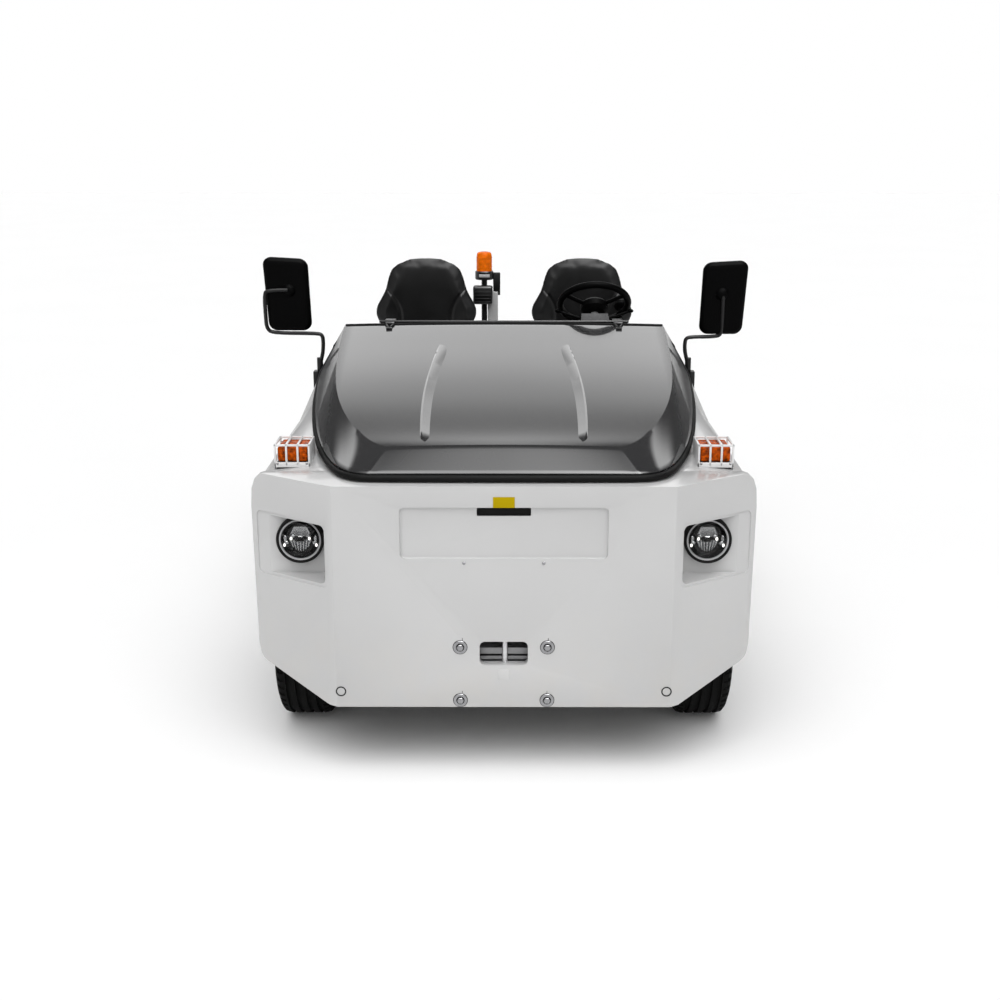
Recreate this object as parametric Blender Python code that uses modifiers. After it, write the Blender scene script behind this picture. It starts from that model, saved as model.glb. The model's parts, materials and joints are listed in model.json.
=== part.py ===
"""Electric baggage tug: a low open tow tractor with a cowled front and a battery deck behind.

Metres, +Z up. The front faces -Y and the driver's left side is +X. The origin is on the floor,
under the middle of the vehicle. Lengths along the vehicle are given as a distance behind the
front plate, and back() turns such a distance into a Y coordinate.
"""
import math

import bmesh
import bpy
from mathutils import Matrix, Vector

# ---- clearances ----
SEAM = 0.0003          # between two fixed pieces that touch
SWING = 0.006          # between a moving piece and its neighbour

# ---- overall ----
LENGTH = 3.25          # front plate to the tail of the hitch
SIDE_HALF = 0.84       # centre plane to the outer face of the side panels
PANEL = 0.02           # thickness of a body panel
SIDE_EDGE = 0.995      # height of the shoulder line
SKIRT = 0.34           # lower edge of the side panels
REAR_WALL = 0.04       # thickness of the rear side panels

# ---- wheels and axles ----
TYRE_R = 0.305
TYRE_W = 0.20
RIM_R = 0.165
WHEEL_X = 0.73         # centre plane of a wheel
KINGPIN_X = 0.615
FRONT_AXLE = 0.55      # behind the front plate
REAR_AXLE = 2.35
ARCH_GAP = 0.065       # between a tyre and its arch
AXLE_BEAM = 0.09       # height of the front beam

# ---- frame ----
RAIL_X = 0.35          # centre plane of a rail
RAIL_W = 0.10
RAIL_LOW = 0.38
RAIL_H = 0.12

# ---- front plate ----
PLATE_T = 0.035
PLATE_HALF = 0.57      # half of the flat middle
PLATE_LOW = 0.235
PLATE_TOP = 1.015
FACET_HALF = 0.872     # half width over the swept-back ends
FACET_BACK = 0.211     # how far the ends are swept back
PLATE_BACK = 0.2152    # back plane of the plate's ends
BLANK_HALF = 0.345     # recess for the nameplate, left blank
BLANK_LOW = 0.774
BLANK_HIGH = 0.939
BLANK_DEEP = 0.011
HAND_HALF = 0.09       # hand slot
HAND_LOW = 0.912
HAND_HIGH = 0.940
SLOT_HALF = 0.082      # tow slot
SLOT_LOW = 0.388
SLOT_HIGH = 0.473
COUPLING_LOW = 0.352
COUPLING_HIGH = 0.487
COUPLING_PLATES = ((0.362, 0.389), (0.396, 0.4075), (0.416, 0.438))

# ---- lamps ----
LAMP_X = 0.698
LAMP_Z = 0.789
LAMP_R = 0.082
LAMP_FACE = 0.135      # behind the front plate
POCKET_IN = 0.600
POCKET_OUT = 0.836
POCKET_LOW = 0.667
POCKET_HIGH = 0.872
POCKET_BACK = 0.170
SIGNAL_X = 0.7390
SIGNAL_Y = 0.37
SIGNAL_W = 0.126
SIGNAL_D = 0.14
SIGNAL_TOP = 1.088
CAGE_RIM = 0.0075      # the cage's frame
CAGE_BAR = 0.0085      # the cage's bars
CAGE_SILL = 0.020      # lower edge of the cage's windows above the shoulder line
CAGE_ROOM = 0.012      # between the lamp and the cage

# ---- hood ----
HOOD_FRONT = 0.048
HOOD_REAR = 1.148
HOOD_HALF = 0.745
HOOD_SILL = 1.0470     # lowest height of the hood's edge
HOOD_TOP = 1.386
HOOD_T = 0.008
HOOD_CROWN = 0.009
SEAL_R = 0.010
SHOULDER_DEPTH = 0.10   # of the solid under the front shoulders
SEAL_DROP = SEAL_R + HOOD_T + 0.003     # from the hood's edge down to the seal's centre line

# ---- cab ----
COWL_FRONT = 1.1503
COWL_T = 0.0144
DASH_D = 0.145
DASH_DROP = 0.022       # from the hood's rear edge down to the dashboard's top
DASH_HALF = 0.757
FLOOR_FRONT = 0.90
FLOOR_TOP = 0.62
FLOOR_T = 0.04
STEP_TOP = 0.385
STEP_IN = 0.64
SEAT_BOX_FRONT = 1.56
SEAT_BOX_REAR = 2.335
SEAT_BOX_TOP = 0.95
SEAT_X = 0.36
CUSHION_W = 0.46
CUSHION_D = 0.45
CUSHION_T = 0.12
CUSHION_FRONT = 1.545
BACKREST_TOP = 1.57
BACKREST_W = 0.467
BACKREST_Y = 2.00
BACKREST_T = 0.10
BACKREST_SHAPE = (      # shares of the half width and of the height, from the foot up
    (0.80, 0.00), (0.82, 0.21), (0.85, 0.34), (0.91, 0.45), (0.985, 0.56), (1.00, 0.61), (0.975, 0.67),
    (0.893, 0.74), (0.814, 0.82), (0.722, 0.91), (0.47, 0.975), (0.20, 1.00),
)

# ---- steering ----
STEER_X = 0.374
STEER_Y = 1.375
STEER_Z = 1.448
STEER_R = 0.1400
STEER_RIM = 0.0145
STEER_TILT = math.radians(40)

# ---- mirrors, mast ----
MIRROR_X = 0.8675
MIRROR_W = 0.172
MIRROR_H = 0.296
MIRROR_LOW = 1.357
MIRROR_Y = 1.195
MIRROR_T = 0.034
MIRROR_LEAN = math.radians(3.5)     # the heads lean outward
ARM_R = 0.008
MAST_X = -0.0535
MAST_Y = 2.25
MAST_W = 0.049
MAST_TOP = 1.394
POLE_X = -0.094
POLE_R = 0.0135
BEACON_LOW = 1.45
BEACON_TOP = 1.58
BEACON_R = 0.0435

# ---- tail ----
TAIL_FRONT = 3.06
TAIL_T = 0.06
DECK_TOP = 0.98
DECK_T = 0.025
HITCH_HALF = 0.09
HITCH_LOW = 0.30
HITCH_PLATE = 0.018
HITCH_PITCH = 0.08
HITCH_LEVELS = 4
PIN_R = 0.0125
PIN_BORE = 0.0150

WHITE = (0.78, 0.78, 0.78, 1)
GLOSS_GREY = (0.10, 0.10, 0.105, 1)
BLACK = (0.02, 0.02, 0.02, 1)
RUBBER = (0.015, 0.015, 0.015, 1)
AMBER = (0.90, 0.30, 0.02, 1)
RED = (0.55, 0.02, 0.02, 1)
STEEL = (0.45, 0.45, 0.46, 1)
VINYL = (0.03, 0.03, 0.032, 1)

# Hood outline, one row for each station from the nose to the rear corner. Each row holds the
# crease (share of half width, share of length, share of rise) and the edge below it, the same way.
HOOD_ROWS = (
    ((0.530, 0.105, 0.180), (0.604, 0.000, 0.000)),
    ((0.605, 0.135, 0.205), (0.682, 0.018, 0.000)),
    ((0.675, 0.199, 0.258), (0.758, 0.075, 0.000)),
    ((0.772, 0.347, 0.395), (0.850, 0.265, 0.007)),
    ((0.824, 0.492, 0.528), (0.913, 0.430, 0.080)),
    ((0.848, 0.621, 0.647), (0.952, 0.585, 0.175)),
    ((0.863, 0.829, 0.838), (0.991, 0.820, 0.300)),
    ((0.856, 1.000, 1.000), (1.000, 1.000, 0.404)),
)


def back(distance):
    """Y of a place that lies so far behind the front plate."""
    return distance - LENGTH / 2


# ---------------------------------------------------------------- scene and materials
def clear_scene():
    for old in list(bpy.data.objects):
        bpy.data.objects.remove(old, do_unlink=True)


def new_collection(name):
    group = bpy.data.collections.new(name)
    bpy.context.scene.collection.children.link(group)
    return group


def new_material(name, color, roughness, metallic=0.0):
    mat = bpy.data.materials.new(name)
    mat.use_nodes = True
    mat.diffuse_color = color
    shader = mat.node_tree.nodes["Principled BSDF"]
    shader.inputs["Base Color"].default_value = color
    shader.inputs["Roughness"].default_value = roughness
    shader.inputs["Metallic"].default_value = metallic
    return mat


clear_scene()
PARTS = new_collection("baggage_tug")
CUTTERS = new_collection("cutters")
CUTTERS.hide_render = True
MATERIALS = {
    "body_white": new_material("body_white", WHITE, 0.35),
    "hood_grey": new_material("hood_grey", GLOSS_GREY, 0.08),
    "black_plastic": new_material("black_plastic", BLACK, 0.5),
    "rubber": new_material("rubber", RUBBER, 0.8),
    "tyre": new_material("tyre", RUBBER, 0.85),
    "amber": new_material("amber", AMBER, 0.15),
    "red_lens": new_material("red_lens", RED, 0.15),
    "steel": new_material("steel", STEEL, 0.35, 1.0),
    "vinyl": new_material("vinyl", VINYL, 0.55),
    "frame_black": new_material("frame_black", BLACK, 0.45),
    "lamp": new_material("lamp", STEEL, 0.1, 0.8),
}


# ---------------------------------------------------------------- making pieces
def place(name, mesh, location=(0, 0, 0), rotation=(0, 0, 0), slot=None):
    """Link a mesh as an object. With a slot it is a part; without one it is a cutter."""
    obj = bpy.data.objects.new(name, mesh)
    obj.location = location
    obj.rotation_euler = rotation
    if slot:
        mesh.materials.append(MATERIALS[slot])
        PARTS.objects.link(obj)
        return obj
    CUTTERS.objects.link(obj)
    obj.hide_render = True
    obj.display_type = "WIRE"
    return obj


def mesh_from(name, bm):
    bmesh.ops.recalc_face_normals(bm, faces=bm.faces)
    mesh = bpy.data.meshes.new(name)
    bm.to_mesh(mesh)
    bm.free()
    return mesh


def box(name, low, high, slot=None, bevel=0.0):
    low = Vector(low)
    high = Vector(high)
    bm = bmesh.new()
    bmesh.ops.create_cube(bm, size=1)
    bmesh.ops.scale(bm, vec=high - low, verts=bm.verts)
    obj = place(name, mesh_from(name, bm), (low + high) / 2, slot=slot)
    if bevel:
        round_edges(obj, bevel)
    return obj


def round_edges(obj, width, segments=2, angle=40):
    mod = obj.modifiers.new("round", "BEVEL")
    mod.width = width
    mod.segments = segments
    mod.limit_method = "ANGLE"
    mod.angle_limit = math.radians(angle)
    return mod


def cylinder(name, centre, radius, length, axis="Z", slot=None, steps=32):
    bm = bmesh.new()
    bmesh.ops.create_cone(bm, cap_ends=True, segments=steps, radius1=radius, radius2=radius, depth=length)
    turns = {"X": (0, math.pi / 2, 0), "Y": (math.pi / 2, 0, 0), "Z": (0, 0, 0)}
    obj = place(name, mesh_from(name, bm), centre, turns[axis], slot)
    obj.data.shade_smooth()
    obj.data.set_sharp_from_angle(angle=math.radians(40))
    return obj


def turned(name, profile, centre, rotation=(0, 0, 0), slot=None, steps=40, closed=False):
    """A profile of (radius, height) turned about Z, outer side from top to bottom."""
    mesh = bpy.data.meshes.new(name)
    count = len(profile)
    edges = [(i, i + 1) for i in range(count - 1)]
    if closed:
        edges.append((count - 1, 0))
    mesh.from_pydata([(r, 0, z) for r, z in profile], edges, [])
    obj = place(name, mesh, centre, rotation, slot)
    mod = obj.modifiers.new("turn", "SCREW")
    mod.steps = steps
    mod.render_steps = steps
    mod.use_merge_vertices = True
    mod.merge_threshold = 0.0001
    mod.use_smooth_shade = True
    return obj


def outline_mesh(name, points, thickness):
    """A flat outline in local XY with half of its thickness on each side."""
    curve = bpy.data.curves.new(name, "CURVE")
    curve.dimensions = "2D"
    curve.fill_mode = "BOTH"
    curve.extrude = thickness / 2
    spline = curve.splines.new("POLY")
    spline.points.add(len(points) - 1)
    for point, (u, v) in zip(spline.points, points):
        point.co = (u, v, 0, 1)
    spline.use_cyclic_u = True
    return curve_to_mesh(name, curve)


def curve_to_mesh(name, curve):
    """The evaluated curve as a mesh with its caps welded on."""
    temp = bpy.data.objects.new(name + "_curve", curve)
    CUTTERS.objects.link(temp)
    bpy.context.view_layer.update()
    graph = bpy.context.evaluated_depsgraph_get()
    mesh = bpy.data.meshes.new_from_object(temp.evaluated_get(graph))
    bm = bmesh.new()
    bm.from_mesh(mesh)
    bmesh.ops.remove_doubles(bm, verts=bm.verts, dist=0.00001)
    bmesh.ops.recalc_face_normals(bm, faces=bm.faces)
    bm.to_mesh(mesh)
    bm.free()
    mesh.materials.clear()
    bpy.data.objects.remove(temp, do_unlink=True)
    return mesh


FRONT_VIEW = (math.pi / 2, 0, 0)              # outline is (X, Z)
SIDE_VIEW = (math.pi / 2, 0, math.pi / 2)     # outline is (Y, Z)


def front_prism(name, points, near, far, slot=None):
    """An (X, Z) outline that runs from near to far behind the front plate."""
    mesh = outline_mesh(name, points, far - near)
    return place(name, mesh, (0, back((near + far) / 2), 0), FRONT_VIEW, slot)


def side_prism(name, points, left, right, slot=None):
    """A (distance behind the front, Z) outline that runs along X."""
    mesh = outline_mesh(name, [(back(d), z) for d, z in points], right - left)
    return place(name, mesh, ((left + right) / 2, 0, 0), SIDE_VIEW, slot)


def plan_prism(name, points, low, high, slot=None):
    """An (X, distance behind the front) outline that runs from low to high."""
    mesh = outline_mesh(name, [(x, back(d)) for x, d in points], high - low)
    return place(name, mesh, (0, 0, (low + high) / 2), (0, 0, 0), slot)


def tube(name, points, radius, slot=None, resolution=2):
    """A round bar through the points, each (X, distance behind the front, Z)."""
    curve = bpy.data.curves.new(name, "CURVE")
    curve.dimensions = "3D"
    curve.bevel_depth = radius
    curve.bevel_resolution = resolution
    curve.use_fill_caps = True
    spline = curve.splines.new("POLY")
    spline.points.add(len(points) - 1)
    for point, (x, d, z) in zip(spline.points, points):
        point.co = (x, back(d), z, 1)
    return place(name, curve_to_mesh(name, curve), slot=slot)


def loft(name, sections, slot=None):
    """A closed body through sections of equal point counts."""
    bm = bmesh.new()
    rings = [[bm.verts.new(p) for p in section] for section in sections]
    count = len(rings[0])
    for one, two in zip(rings, rings[1:]):
        for i in range(count):
            j = (i + 1) % count
            bm.faces.new((one[i], one[j], two[j]))
            bm.faces.new((one[i], two[j], two[i]))
    bm.faces.new(rings[0])
    bm.faces.new(rings[-1])
    return place(name, mesh_from(name, bm), slot=slot)


def boolean(obj, cutter, operation):
    mod = obj.modifiers.new(cutter.name, "BOOLEAN")
    mod.operation = operation
    mod.solver = "EXACT"
    mod.object = cutter
    return obj


def cut(obj, *cutters):
    for cutter in cutters:
        boolean(obj, cutter, "DIFFERENCE")
    return obj


def join(obj, *others):
    for other in others:
        boolean(obj, other, "UNION")
    return obj


def rounded(left, right, low, high, radius, steps=4):
    """The outline of a rectangle with round corners."""
    points = []
    corners = ((right - radius, high - radius, 0), (left + radius, high - radius, 90),
               (left + radius, low + radius, 180), (right - radius, low + radius, 270))
    for u, v, start in corners:
        for i in range(steps + 1):
            angle = math.radians(start + 90 * i / steps)
            points.append((u + radius * math.cos(angle), v + radius * math.sin(angle)))
    return points


def mirrored(points, side):
    return [(side * x, *rest) for x, *rest in points]


def pivot(name, location, rotation=(0, 0, 0)):
    """An empty on a joint's axis."""
    empty = bpy.data.objects.new(name, None)
    empty.location = location
    empty.rotation_euler = rotation
    empty.empty_display_size = 0.1
    PARTS.objects.link(empty)
    return empty


def hang(obj, empty):
    """Parent a part to a pivot without moving it."""
    place_now = Matrix.Translation(obj.location) @ obj.rotation_euler.to_matrix().to_4x4()
    holder = Matrix.Translation(empty.location) @ empty.rotation_euler.to_matrix().to_4x4()
    obj.parent = empty
    obj.matrix_parent_inverse = holder.inverted()
    obj.location = place_now.to_translation()
    return obj


# ---------------------------------------------------------------- hood outline
def hood_point(share):
    """A row's shares as a place (X, distance behind the front, Z)."""
    across, along, up = share
    return (across * HOOD_HALF,
            HOOD_FRONT + along * (HOOD_REAR - HOOD_FRONT),
            HOOD_SILL + up * (HOOD_TOP - HOOD_SILL))


def hood_edge(distance):
    """Half width and height of the hood's lower edge at a distance behind the front."""
    edge = [hood_point(low) for crease, low in HOOD_ROWS]
    if distance <= edge[0][1]:
        return edge[0][0], edge[0][2]
    for (x0, d0, z0), (x1, d1, z1) in zip(edge, edge[1:]):
        if distance <= d1:
            t = (distance - d0) / (d1 - d0)
            return x0 + t * (x1 - x0), z0 + t * (z1 - z0)
    return edge[-1][0], edge[-1][2]


# ---------------------------------------------------------------- frame and axles
def make_frame():
    rail_in = RAIL_X - RAIL_W / 2
    rail_out = RAIL_X + RAIL_W / 2
    start = PLATE_T + SEAM
    end = TAIL_FRONT - SEAM
    top = RAIL_LOW + RAIL_H
    frame = box("chassis_frame", (rail_in, back(start), RAIL_LOW), (rail_out, back(end), top), "frame_black")
    join(frame, box("rail_right", (-rail_out, back(start), RAIL_LOW), (-rail_in, back(end), top)))
    inset = 0.015
    for number, (near, far) in enumerate(((0.165, 0.215), (0.95, 1.05), (1.62, 1.72), (2.88, 2.98))):
        beam = box(f"cross_beam_{number}", (-rail_in - inset, back(near), RAIL_LOW + inset),
                   (rail_in + inset, back(far), top - inset))
        join(frame, beam)
    return frame


def make_front_axle():
    centre = TYRE_R
    half = AXLE_BEAM / 2
    end = KINGPIN_X
    axle = box("front_axle", (-end, back(FRONT_AXLE - half), centre - half),
               (end, back(FRONT_AXLE + half), centre + half), "frame_black")
    for side in (1, -1):
        low = min(side * (RAIL_X - RAIL_W / 2), side * (RAIL_X + RAIL_W / 2))
        pad = box(f"front_pad_{side}", (low, back(FRONT_AXLE - 0.06), centre),
                  (low + RAIL_W, back(FRONT_AXLE + 0.06), RAIL_LOW - SEAM))
        boss = cylinder(f"kingpin_boss_{side}", (side * KINGPIN_X, back(FRONT_AXLE), centre), 0.052, 0.13)
        join(axle, pad, boss)
    return axle


def make_rear_axle():
    y = back(REAR_AXLE)
    axle = cylinder("rear_axle", (0, y, TYRE_R), 0.06, 2 * 0.60, "X", "frame_black")
    case = [(0.0, 0.16), (0.07, 0.155), (0.12, 0.12), (0.15, 0.06), (0.15, -0.06),
            (0.12, -0.12), (0.07, -0.155), (0.0, -0.16)]
    parts = [turned("final_drive_case", case, (0, y, TYRE_R), (0, math.pi / 2, 0), steps=24)]
    motor_gap = 0.10
    parts.append(cylinder("drive_motor", (0, y - 0.15 - motor_gap, TYRE_R), 0.10, 0.28, "Y"))
    for side in (1, -1):
        drum = cylinder(f"drum_{side}", (side * 0.645, y, TYRE_R), 0.12, 0.09, "X")
        low = min(side * (RAIL_X - RAIL_W / 2), side * (RAIL_X + RAIL_W / 2))
        pad = box(f"rear_pad_{side}", (low, y - 0.06, TYRE_R), (low + RAIL_W, y + 0.06, RAIL_LOW - SEAM))
        parts += [drum, pad]
    return join(axle, *parts)


def make_knuckle(side, label):
    """A forked stub axle round the end of the front beam."""
    centre = TYRE_R
    reach = 0.065 + SWING
    ear = 0.018
    x_in = KINGPIN_X - 0.045
    x_out = KINGPIN_X + 0.052 + SWING
    wall = x_out + 0.016
    y_low = back(FRONT_AXLE - 0.05)
    y_high = back(FRONT_AXLE + 0.05)

    def slab(name, low_x, high_x, low_z, high_z, slot=None):
        xs = sorted((side * low_x, side * high_x))
        return box(name, (xs[0], y_low, low_z), (xs[1], y_high, high_z), slot)

    knuckle = slab(f"knuckle_{label}", x_out, wall, centre - reach - ear, centre + reach + ear, "frame_black")
    join(knuckle,
         slab(f"ear_top_{label}", x_in, x_out + 0.002, centre + reach, centre + reach + ear),
         slab(f"ear_low_{label}", x_in, x_out + 0.002, centre - reach - ear, centre - reach),
         cylinder(f"stub_{label}", (side * (wall + 0.004), back(FRONT_AXLE), centre), 0.05, 0.02, "X"))
    return knuckle


# ---------------------------------------------------------------- wheels
def tyre_profile():
    half = TYRE_W / 2
    bead = RIM_R + 0.0005
    side = [(bead, half - 0.022), (RIM_R + 0.030, half - 0.008), (RIM_R + 0.075, half),
            (TYRE_R - 0.035, half - 0.003), (TYRE_R - 0.010, half - 0.014), (TYRE_R, half - 0.034)]
    return side + [(r, -z) for r, z in reversed(side)]


def rim_profile():
    """A dished disc wheel, seen from its outer side at +Z."""
    half = TYRE_W / 2
    return [(0.0, 0.052), (0.045, 0.052), (0.050, 0.030), (0.075, 0.022), (0.120, 0.022),
            (0.140, 0.030), (0.150, half - 0.012), (RIM_R, half - 0.010), (RIM_R, -half + 0.010),
            (0.150, -half + 0.012), (0.146, 0.004), (0.115, -0.002), (0.070, -0.004), (0.0, -0.004)]


def make_wheel(side, label, distance):
    centre = (side * WHEEL_X, back(distance), TYRE_R)
    turn = (0, side * math.pi / 2, 0)
    tyre = turned(f"tyre_{label}", tyre_profile(), centre, turn, "tyre", steps=48, closed=True)
    rim = turned(f"rim_{label}", rim_profile(), centre, turn, "body_white", steps=32)
    return tyre, rim


# ---------------------------------------------------------------- front body
def make_front_plate():
    facet = (FACET_HALF, FACET_BACK)
    plan = [(-facet[0], facet[1]), (-PLATE_HALF, 0), (PLATE_HALF, 0), facet,
            (FACET_HALF, PLATE_BACK), (-FACET_HALF, PLATE_BACK)]
    plate = plan_prism("front_bumper", plan, PLATE_LOW, PLATE_TOP, "body_white")
    half = [(0.60, PLATE_LOW), (0.832, 0.330), (0.849, 0.341), (0.858, 0.356), (0.865, 0.389),
            (FACET_HALF, 0.893), (0.868, 0.955), (0.856, 0.990), (0.836, 1.010), (0.820, PLATE_TOP)]
    face = half + mirrored(reversed(half), -1)
    boolean(plate, front_prism("front_outline", face, -0.05, 0.30), "INTERSECT")

    inner = PLATE_HALF - 0.02
    behind = PLATE_BACK + 0.02
    sweep = (FACET_HALF - 0.012 - inner) / (PLATE_BACK - PLATE_T)
    tip = inner + sweep * (behind - PLATE_T)
    hollow = [(-tip, behind), (-inner, PLATE_T), (inner, PLATE_T), (tip, behind)]
    cut(plate, plan_prism("wheel_room", hollow, PLATE_LOW - 0.05, POCKET_LOW - PANEL))
    pocket_wall = POCKET_IN - 0.03
    cut(plate, box("plate_room", (-pocket_wall, back(PLATE_T), POCKET_LOW - 0.05),
                   (pocket_wall, back(behind), PLATE_TOP - 0.012)))
    for side in (1, -1):
        xs = sorted((side * POCKET_IN, side * POCKET_OUT))
        pocket = rounded(xs[0], xs[1], POCKET_LOW, POCKET_HIGH, 0.018)
        cut(plate, front_prism(f"lamp_pocket_{side}", pocket, -0.05, POCKET_BACK))
    blank = rounded(-BLANK_HALF, BLANK_HALF, BLANK_LOW, BLANK_HIGH, 0.012)
    hand = rounded(-HAND_HALF, HAND_HALF, HAND_LOW, HAND_HIGH, 0.004)
    slot = rounded(-SLOT_HALF, SLOT_HALF, SLOT_LOW, SLOT_HIGH, 0.018)
    cut(plate,
        front_prism("blank_recess", blank, -0.02, BLANK_DEEP),
        front_prism("hand_slot", hand, -0.02, PLATE_T + 0.01),
        front_prism("tow_slot", slot, -0.02, PLATE_T + 0.01))
    return plate


def make_front_coupling():
    near = PLATE_T + SEAM
    far = 0.165 - SEAM
    body = box("front_coupling", (-0.12, back(far - 0.02), COUPLING_LOW), (0.12, back(far), COUPLING_HIGH), "steel")
    for number, (low, high) in enumerate(COUPLING_PLATES):
        plate = box(f"coupling_plate_{number}", (-0.11, back(near), low), (0.11, back(far - 0.01), high))
        join(body, plate)
    join(body, cylinder("coupling_pin", (0, back(near + 0.028), (COUPLING_LOW + COUPLING_HIGH) / 2), 0.0095,
                        COUPLING_HIGH - COUPLING_LOW, steps=20))
    return body


def fender_section(distance, side, depth):
    """The panel's cross section: side wall, shoulder and top up to the hood's seal."""
    edge_x, edge_z = hood_edge(distance)
    inner_x = edge_x - 0.012
    inner_z = edge_z - SEAL_DROP - SEAL_R - 0.002
    r = 0.014
    out = SIDE_HALF
    outline = [(out, SKIRT), (out, SIDE_EDGE - r), (out - 0.3 * r, SIDE_EDGE - 0.3 * r), (out - r, SIDE_EDGE),
               (inner_x, inner_z), (inner_x, inner_z - depth), (out - depth - 0.01, SIDE_EDGE - depth),
               (out - PANEL, SIDE_EDGE - depth - 0.012), (out - PANEL, SKIRT)]
    return [(side * x, back(distance), z) for x, z in outline]


FENDER_STATIONS = (PLATE_BACK + SEAM, 0.28, 0.34, 0.43, 0.52, 0.60, 0.69, 0.82, 0.95, 1.05, COWL_FRONT - SEAM)


def make_fender(side, label):
    sections = [fender_section(d, side, PANEL) for d in FENDER_STATIONS]
    fender = loft(f"front_fender_{label}", sections, "body_white")
    arch = cylinder(f"front_arch_{label}", (side * SIDE_HALF, back(FRONT_AXLE), TYRE_R), TYRE_R + ARCH_GAP,
                    0.2, "X", steps=48)
    return cut(fender, arch)


def make_signal(side, label):
    """An amber turn lamp and its cage, both cut to sit on the shoulder."""
    half_w = SIGNAL_W / 2
    near = SIGNAL_Y - SIGNAL_D / 2
    far = SIGNAL_Y + SIGNAL_D / 2
    ground = loft(f"shoulder_{label}", [
        [(x, y, z + SEAM) for x, y, z in fender_section(d, side, SHOULDER_DEPTH)] for d in FENDER_STATIONS])
    x = side * SIGNAL_X
    low = SIDE_EDGE - 0.03
    inner = half_w - CAGE_RIM
    reach = inner - CAGE_ROOM
    lamp = box(f"turn_signal_{label}", (x - reach, back(near + CAGE_RIM + CAGE_ROOM), low),
               (x + reach, back(far - CAGE_ROOM), SIGNAL_TOP - CAGE_RIM - CAGE_ROOM), "amber")
    cut(lamp, ground)
    cage = box(f"lamp_guard_{label}", (x - half_w, back(near), low), (x + half_w, back(far), SIGNAL_TOP),
               "body_white")
    room = box(f"guard_room_{label}", (x - inner, back(near + CAGE_RIM), low - 0.01),
               (x + inner, back(far + 0.01), SIGNAL_TOP - CAGE_RIM))
    cut(cage, room)
    lip = 0.003
    pitch = (2 * inner + CAGE_BAR) / 3
    for number in range(3):
        left = x - inner + number * pitch
        right = left + pitch - CAGE_BAR
        window = box(f"window_{number}_{label}", (left, back(near - 0.02), SIDE_EDGE + CAGE_SILL),
                     (right, back(near + CAGE_RIM + lip), SIGNAL_TOP - CAGE_RIM - lip))
        slit = box(f"slit_{number}_{label}", (left, back(near + CAGE_RIM + 2 * lip), SIGNAL_TOP - CAGE_RIM - 2 * lip),
                   (right, back(far - CAGE_RIM), SIGNAL_TOP + 0.02))
        cut(cage, window, slit)
    opening = box(f"guard_side_{label}", (x, back(near + CAGE_RIM + 3 * lip), SIDE_EDGE + 2 * CAGE_SILL),
                  (x + side * (half_w + 0.02), back(far - CAGE_RIM - lip), SIGNAL_TOP - CAGE_RIM - 3 * lip))
    cut(cage, opening, ground)
    return lamp, cage


def make_headlight(side, label):
    depth = POCKET_BACK - SEAM - LAMP_FACE
    ring = LAMP_R - 0.009
    profile = [(0.0, depth - 0.004), (ring - 0.012, depth - 0.008), (ring, depth - 0.010), (ring + 0.002, depth),
               (LAMP_R - 0.003, depth), (LAMP_R, depth - 0.004), (LAMP_R, 0.0), (0.0, 0.0)]
    centre = (side * LAMP_X, back(POCKET_BACK - SEAM), LAMP_Z)
    return turned(f"headlight_{label}", profile, centre, (math.pi / 2, 0, 0), "lamp", steps=40)


# ---------------------------------------------------------------- hood and seal
def hood_grid():
    """Rows of points across the hood, from the front edge to the rear edge."""
    shares = [-1, -0.8, -0.55, -0.28, 0, 0.28, 0.55, 0.8, 1]
    creases = [hood_point(crease) for crease, low in HOOD_ROWS]
    edges = [hood_point(low) for crease, low in HOOD_ROWS]
    rows = []
    nose_x, nose_d, nose_z = edges[0]
    rows.append([(s * nose_x, nose_d, nose_z) for s in shares])
    for x, d, z in creases:
        crown = HOOD_CROWN * (0.5 + 0.5 * x / HOOD_HALF)
        rows.append([(s * x, d, z + crown * (1 - s * s)) for s in shares])
    return rows, edges


def make_hood():
    rows, edges = hood_grid()
    bm = bmesh.new()
    grid = [[bm.verts.new((x, back(d), z)) for x, d, z in row] for row in rows]
    for one, two in zip(grid, grid[1:]):
        for i in range(len(one) - 1):
            bm.faces.new((one[i], one[i + 1], two[i + 1], two[i]))
    for column, side in ((-1, 1), (0, -1)):
        rim = [grid[0][column]]
        rim += [bm.verts.new((side * x, back(d), z)) for x, d, z in edges[1:]]
        bm.faces.new((rim[0], grid[1][column], grid[2][column], rim[1]))
        for row in range(1, len(rim) - 1):
            bm.faces.new((rim[row], grid[row + 1][column], grid[row + 2][column], rim[row + 1]))
    bmesh.ops.recalc_face_normals(bm, faces=bm.faces)
    if sum(face.normal.z for face in bm.faces) < 0:
        bmesh.ops.reverse_faces(bm, faces=bm.faces)
    mesh = bpy.data.meshes.new("hood")
    bm.to_mesh(mesh)
    bm.free()
    hood = place("hood", mesh, slot="hood_grey")
    shell = hood.modifiers.new("shell", "SOLIDIFY")
    shell.thickness = HOOD_T
    shell.offset = -1
    shell.use_even_offset = True
    return hood


def make_seal():
    edges = [hood_point(low) for crease, low in HOOD_ROWS]
    half = [(x, d, z - SEAL_DROP) for x, d, z in edges]
    path = mirrored(reversed(half), -1) + half
    return tube("hood_seal", path, SEAL_R, "rubber", resolution=1)


def make_hinges():
    """The hood's hinge rod and the two brackets that carry it on the dashboard."""
    y = HOOD_REAR + 0.012
    z = HOOD_TOP + 0.012
    rod = cylinder("hood_hinges", (0, back(y), z), 0.005, 1.0, "X", "frame_black", steps=16)
    for side in (1, -1):
        bracket = box(f"hinge_bracket_{side}", (side * 0.457 - 0.02, back(y), z - 0.0055),
                      (side * 0.457 + 0.02, back(y + 0.05), z + 0.006))
        join(rod, bracket)
    return rod


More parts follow.
